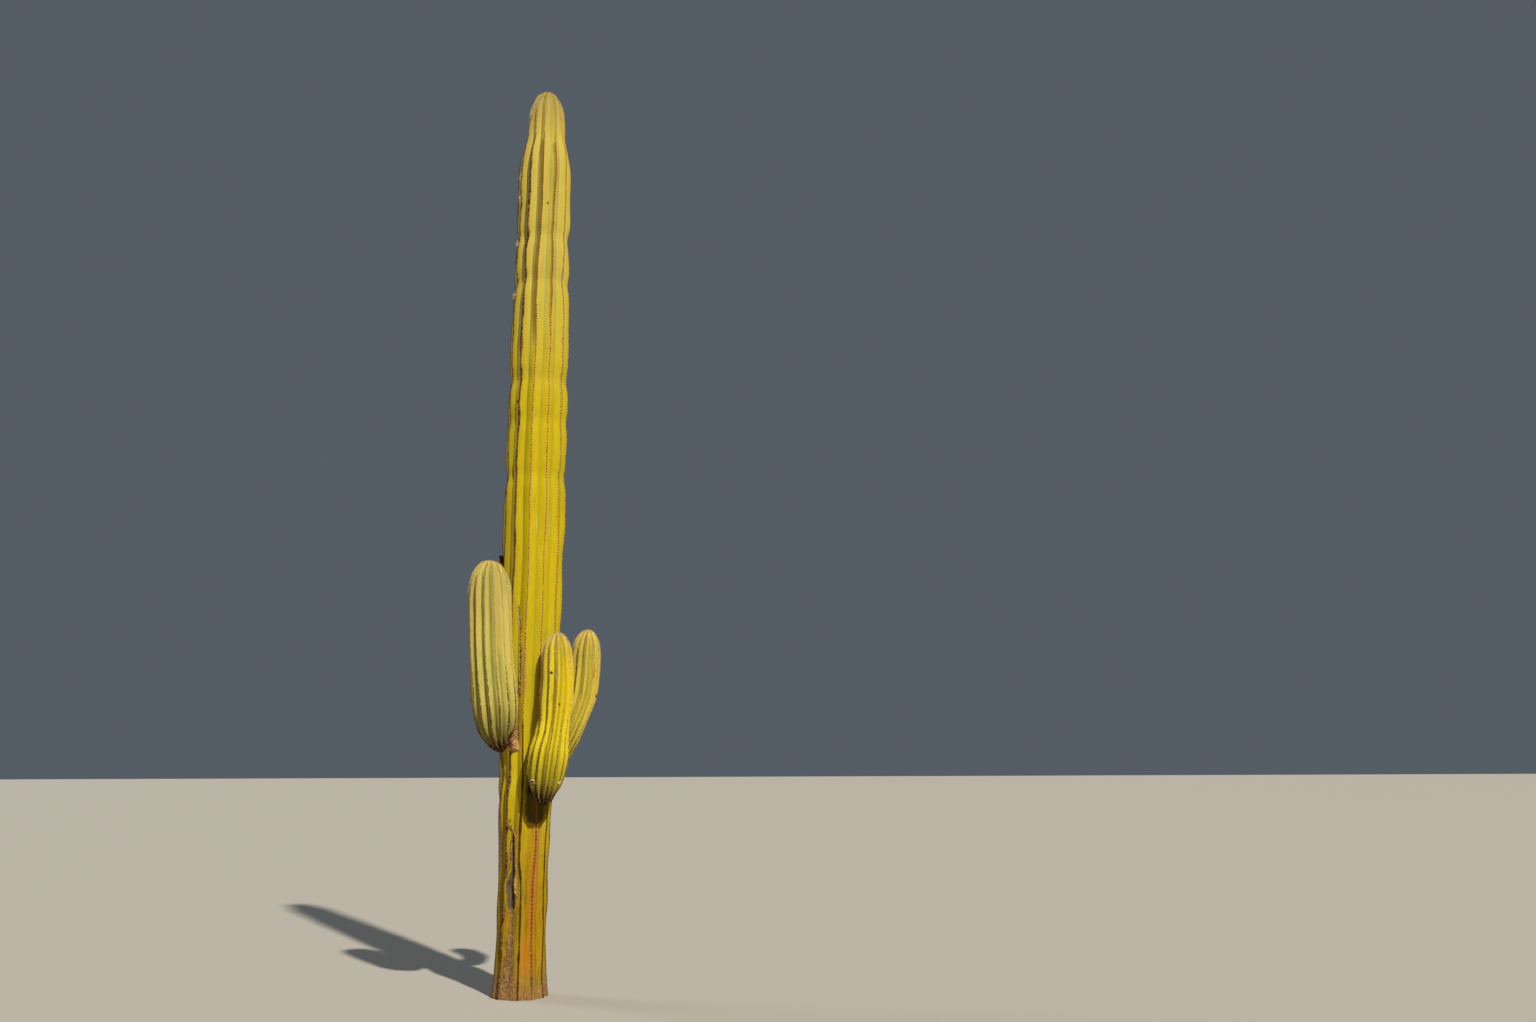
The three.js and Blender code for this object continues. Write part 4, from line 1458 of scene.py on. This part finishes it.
# Each has its limb, height in mm, degrees, half width in mm, profile, seed, and inner and outer tone: the
# inner one is painted shade of the hollow, and the cream rim of the left stub is a painted highlight.
lay_turned("stem_hole", stem, 5230, 8.7, 9, PIT, 91, ("black", "bark"))
lay_turned("stem_notch", stem, 3840, -44, 12, PIT, 92, ("black", "bark"))
lay_turned("stem_rear_hole", stem, 4712, 214, 12, PIT, 93, ("black", "tan"))
lay_turned("front_pit", front, 2036, -24, 7, PIT, 94, ("umber", "brown"), tall=1.3, shade_reach=0.8)
lay_turned("front_hole", front, 1835, 13, 7.5, PIT, 95, ("black", "brown"), shade_reach=0.78)
lay_turned("left_rear_hole", left, 2034, 200, 10, PIT, 96, ("black", "tan"))
lay_turned("right_knob", right, 1921, 86, 9, STUB, 97, ("brown", "bark"), shade_reach=0.38)
lay_turned("front_stub_left", front, 1352, -48, 15, STUB, 98, ("umber", "cream"), shade_reach=0.6)
lay_turned("front_stub_right", front, 1356, 56, 15, STUB, 99, ("brown", "pink"), shade_reach=0.5)

# %% [markdown]
# A cluster of flower buds dried up on the rib that faces left before it could open. Each is an icosphere
# drawn out into an egg and wrinkled by waves, with withered bracts standing off its end.

# %% Dried buds
BUDS_MIDDLE = np.array((-186, 27, 2784)) * MM
BUD_COUNT = 5
BUD_RING = (15 * MM, 26 * MM)
BUD_SIZE = np.array((17, 17, 19)) * MM
BUD_FILL = 0.96
BRACTS_PER_BUD = 26


def bud_places():
    """Four buds in a ring and the last one in its middle, a little further out."""
    angle = math.tau * np.arange(BUD_COUNT) / (BUD_COUNT - 1)
    ring = np.arange(BUD_COUNT) < BUD_COUNT - 1
    shift = np.stack([(1 - ring) * -0.4 * BUD_SIZE[0], ring * BUD_RING[0] * np.sin(angle),
                      ring * BUD_RING[1] * np.cos(angle)], 1)
    return BUDS_MIDDLE + shift


def dry_bud_material():
    recipe = Recipe("dry_bud", roughness=0.9, specular=0.15)
    blotch = recipe.noise(120.0, 3.0, 0.6)
    tone = recipe.over(colour(48, 32, 24), colour(112, 78, 52), recipe.fade(blotch, 0.4, 0.65))
    return recipe.finish(tone, blotch, strength=0.6, depth=2 * MM)


bud_draw = np.random.default_rng(101)
bud_middles = bud_places()
outward = unit(bud_middles - (bud_middles.mean(0) + np.array((40, 0, 0)) * MM))
bud_axes = axes_from(unit(np.cross(outward, (0, 0, 1.0))), outward)


def grow_buds():
    bm = bmesh.new()
    bmesh.ops.create_icosphere(bm, subdivisions=4, radius=1)
    ball = corners_of(bm)
    around, rise = np.arctan2(ball[:, 1], ball[:, 0]), np.arcsin(ball[:, 2].clip(-1, 1))
    bodies = []
    for place, axes in zip(bud_middles, bud_axes):
        waves = long_waves(int(bud_draw.integers(1000)), 9, 9, 0.8, 4.0)
        wrinkle = 1 + 0.07 * ripple(waves, around, rise) - 0.05 * np.abs(np.sin(7 * around)) * np.cos(rise)
        bodies.append(place + (ball * wrinkle[:, None] * BUD_SIZE * BUD_FILL) @ axes)
    buds = show_copies("dried_buds_body", "dry_bud", [dry_bud_material()], bm, np.array(bodies),
                       np.zeros(BUD_COUNT))
    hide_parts("dried_buds")


def grow_bracts():
    which = np.repeat(np.arange(BUD_COUNT), BRACTS_PER_BUD)
    count = len(which)
    axes = fan_axes(bud_axes[which], bud_draw, 5, 75)
    starts = bud_middles[which] + axes[:, 2] * BUD_SIZE[0] * 0.8
    sizes = np.stack([bud_draw.uniform(1.4, 2.6, count), np.full(count, 0.7),
                      bud_draw.uniform(6, 12, count)], 1) * MM
    bm = spine_shape()
    tones = pick_tones(bud_draw, count, ash=3.0, pink=1.2, bark=2.0, brown=1.5)
    points = placed(bm, starts, axes, sizes)
    show_copies("dried_bracts", "dry_bud", FLAKE, bm, points, tones, smooth_faces=False)


grow_buds()
grow_bracts()

# %% [markdown]
# The floor is a plain pale sheet and the light plain studio light: one warm lamp from the front right,
# where the sun stands in the photograph, a weak, broad and cool one from behind on the left, so that the
# far side reads, and a pale world all round.

# %% Floor and light
FLOOR_SIZE = 60.0
FLOOR_TONE = colour(174, 169, 160)
WARM_LIGHT = (1.0, 0.94, 0.82)
COOL_LIGHT = (0.88, 0.93, 1.0)
WORLD_TINT = (0.6, 0.72, 0.86, 1.0)
WORLD_STRENGTH = 0.15


def make_floor():
    """A sheet just under the cut foot, so that the two don't lie in one plane."""
    bm = bmesh.new()
    bmesh.ops.create_grid(bm, x_segments=1, y_segments=1, size=FLOOR_SIZE)
    bmesh.ops.translate(bm, verts=bm.verts, vec=(0, 0, -1 * MM))
    mesh = mesh_from(bm, "floor")
    mesh.materials.append(Recipe("floor", roughness=0.9).finish(FLOOR_TONE))
    floor = link_new("floor", mesh)


def make_sun(name, azimuth, elevation, strength, tint, softness):
    """A lamp at an azimuth to the right of the camera's side of the plant, and an elevation, in degrees."""
    data = bpy.data.lights.new(name, "SUN")
    data.energy = strength
    data.color = tint
    data.angle = math.radians(softness)
    lamp = link_new(name, data)
    lamp.rotation_euler = (math.radians(90 - elevation), 0.0, math.radians(azimuth))


def make_world():
    world = bpy.data.worlds.new("studio")
    world.use_nodes = True
    background = world.node_tree.nodes["Background"]
    background.inputs["Color"].default_value = WORLD_TINT
    background.inputs["Strength"].default_value = WORLD_STRENGTH
    bpy.context.scene.world = world


make_floor()
make_sun("key", azimuth=21, elevation=44, strength=4.4, tint=WARM_LIGHT, softness=1.5)
make_sun("back_fill", azimuth=236, elevation=26, strength=1.0, tint=COOL_LIGHT, softness=25.0)
make_world()
bpy.context.scene.view_settings.view_transform = "Standard"
print("floor, two lamps and a world")
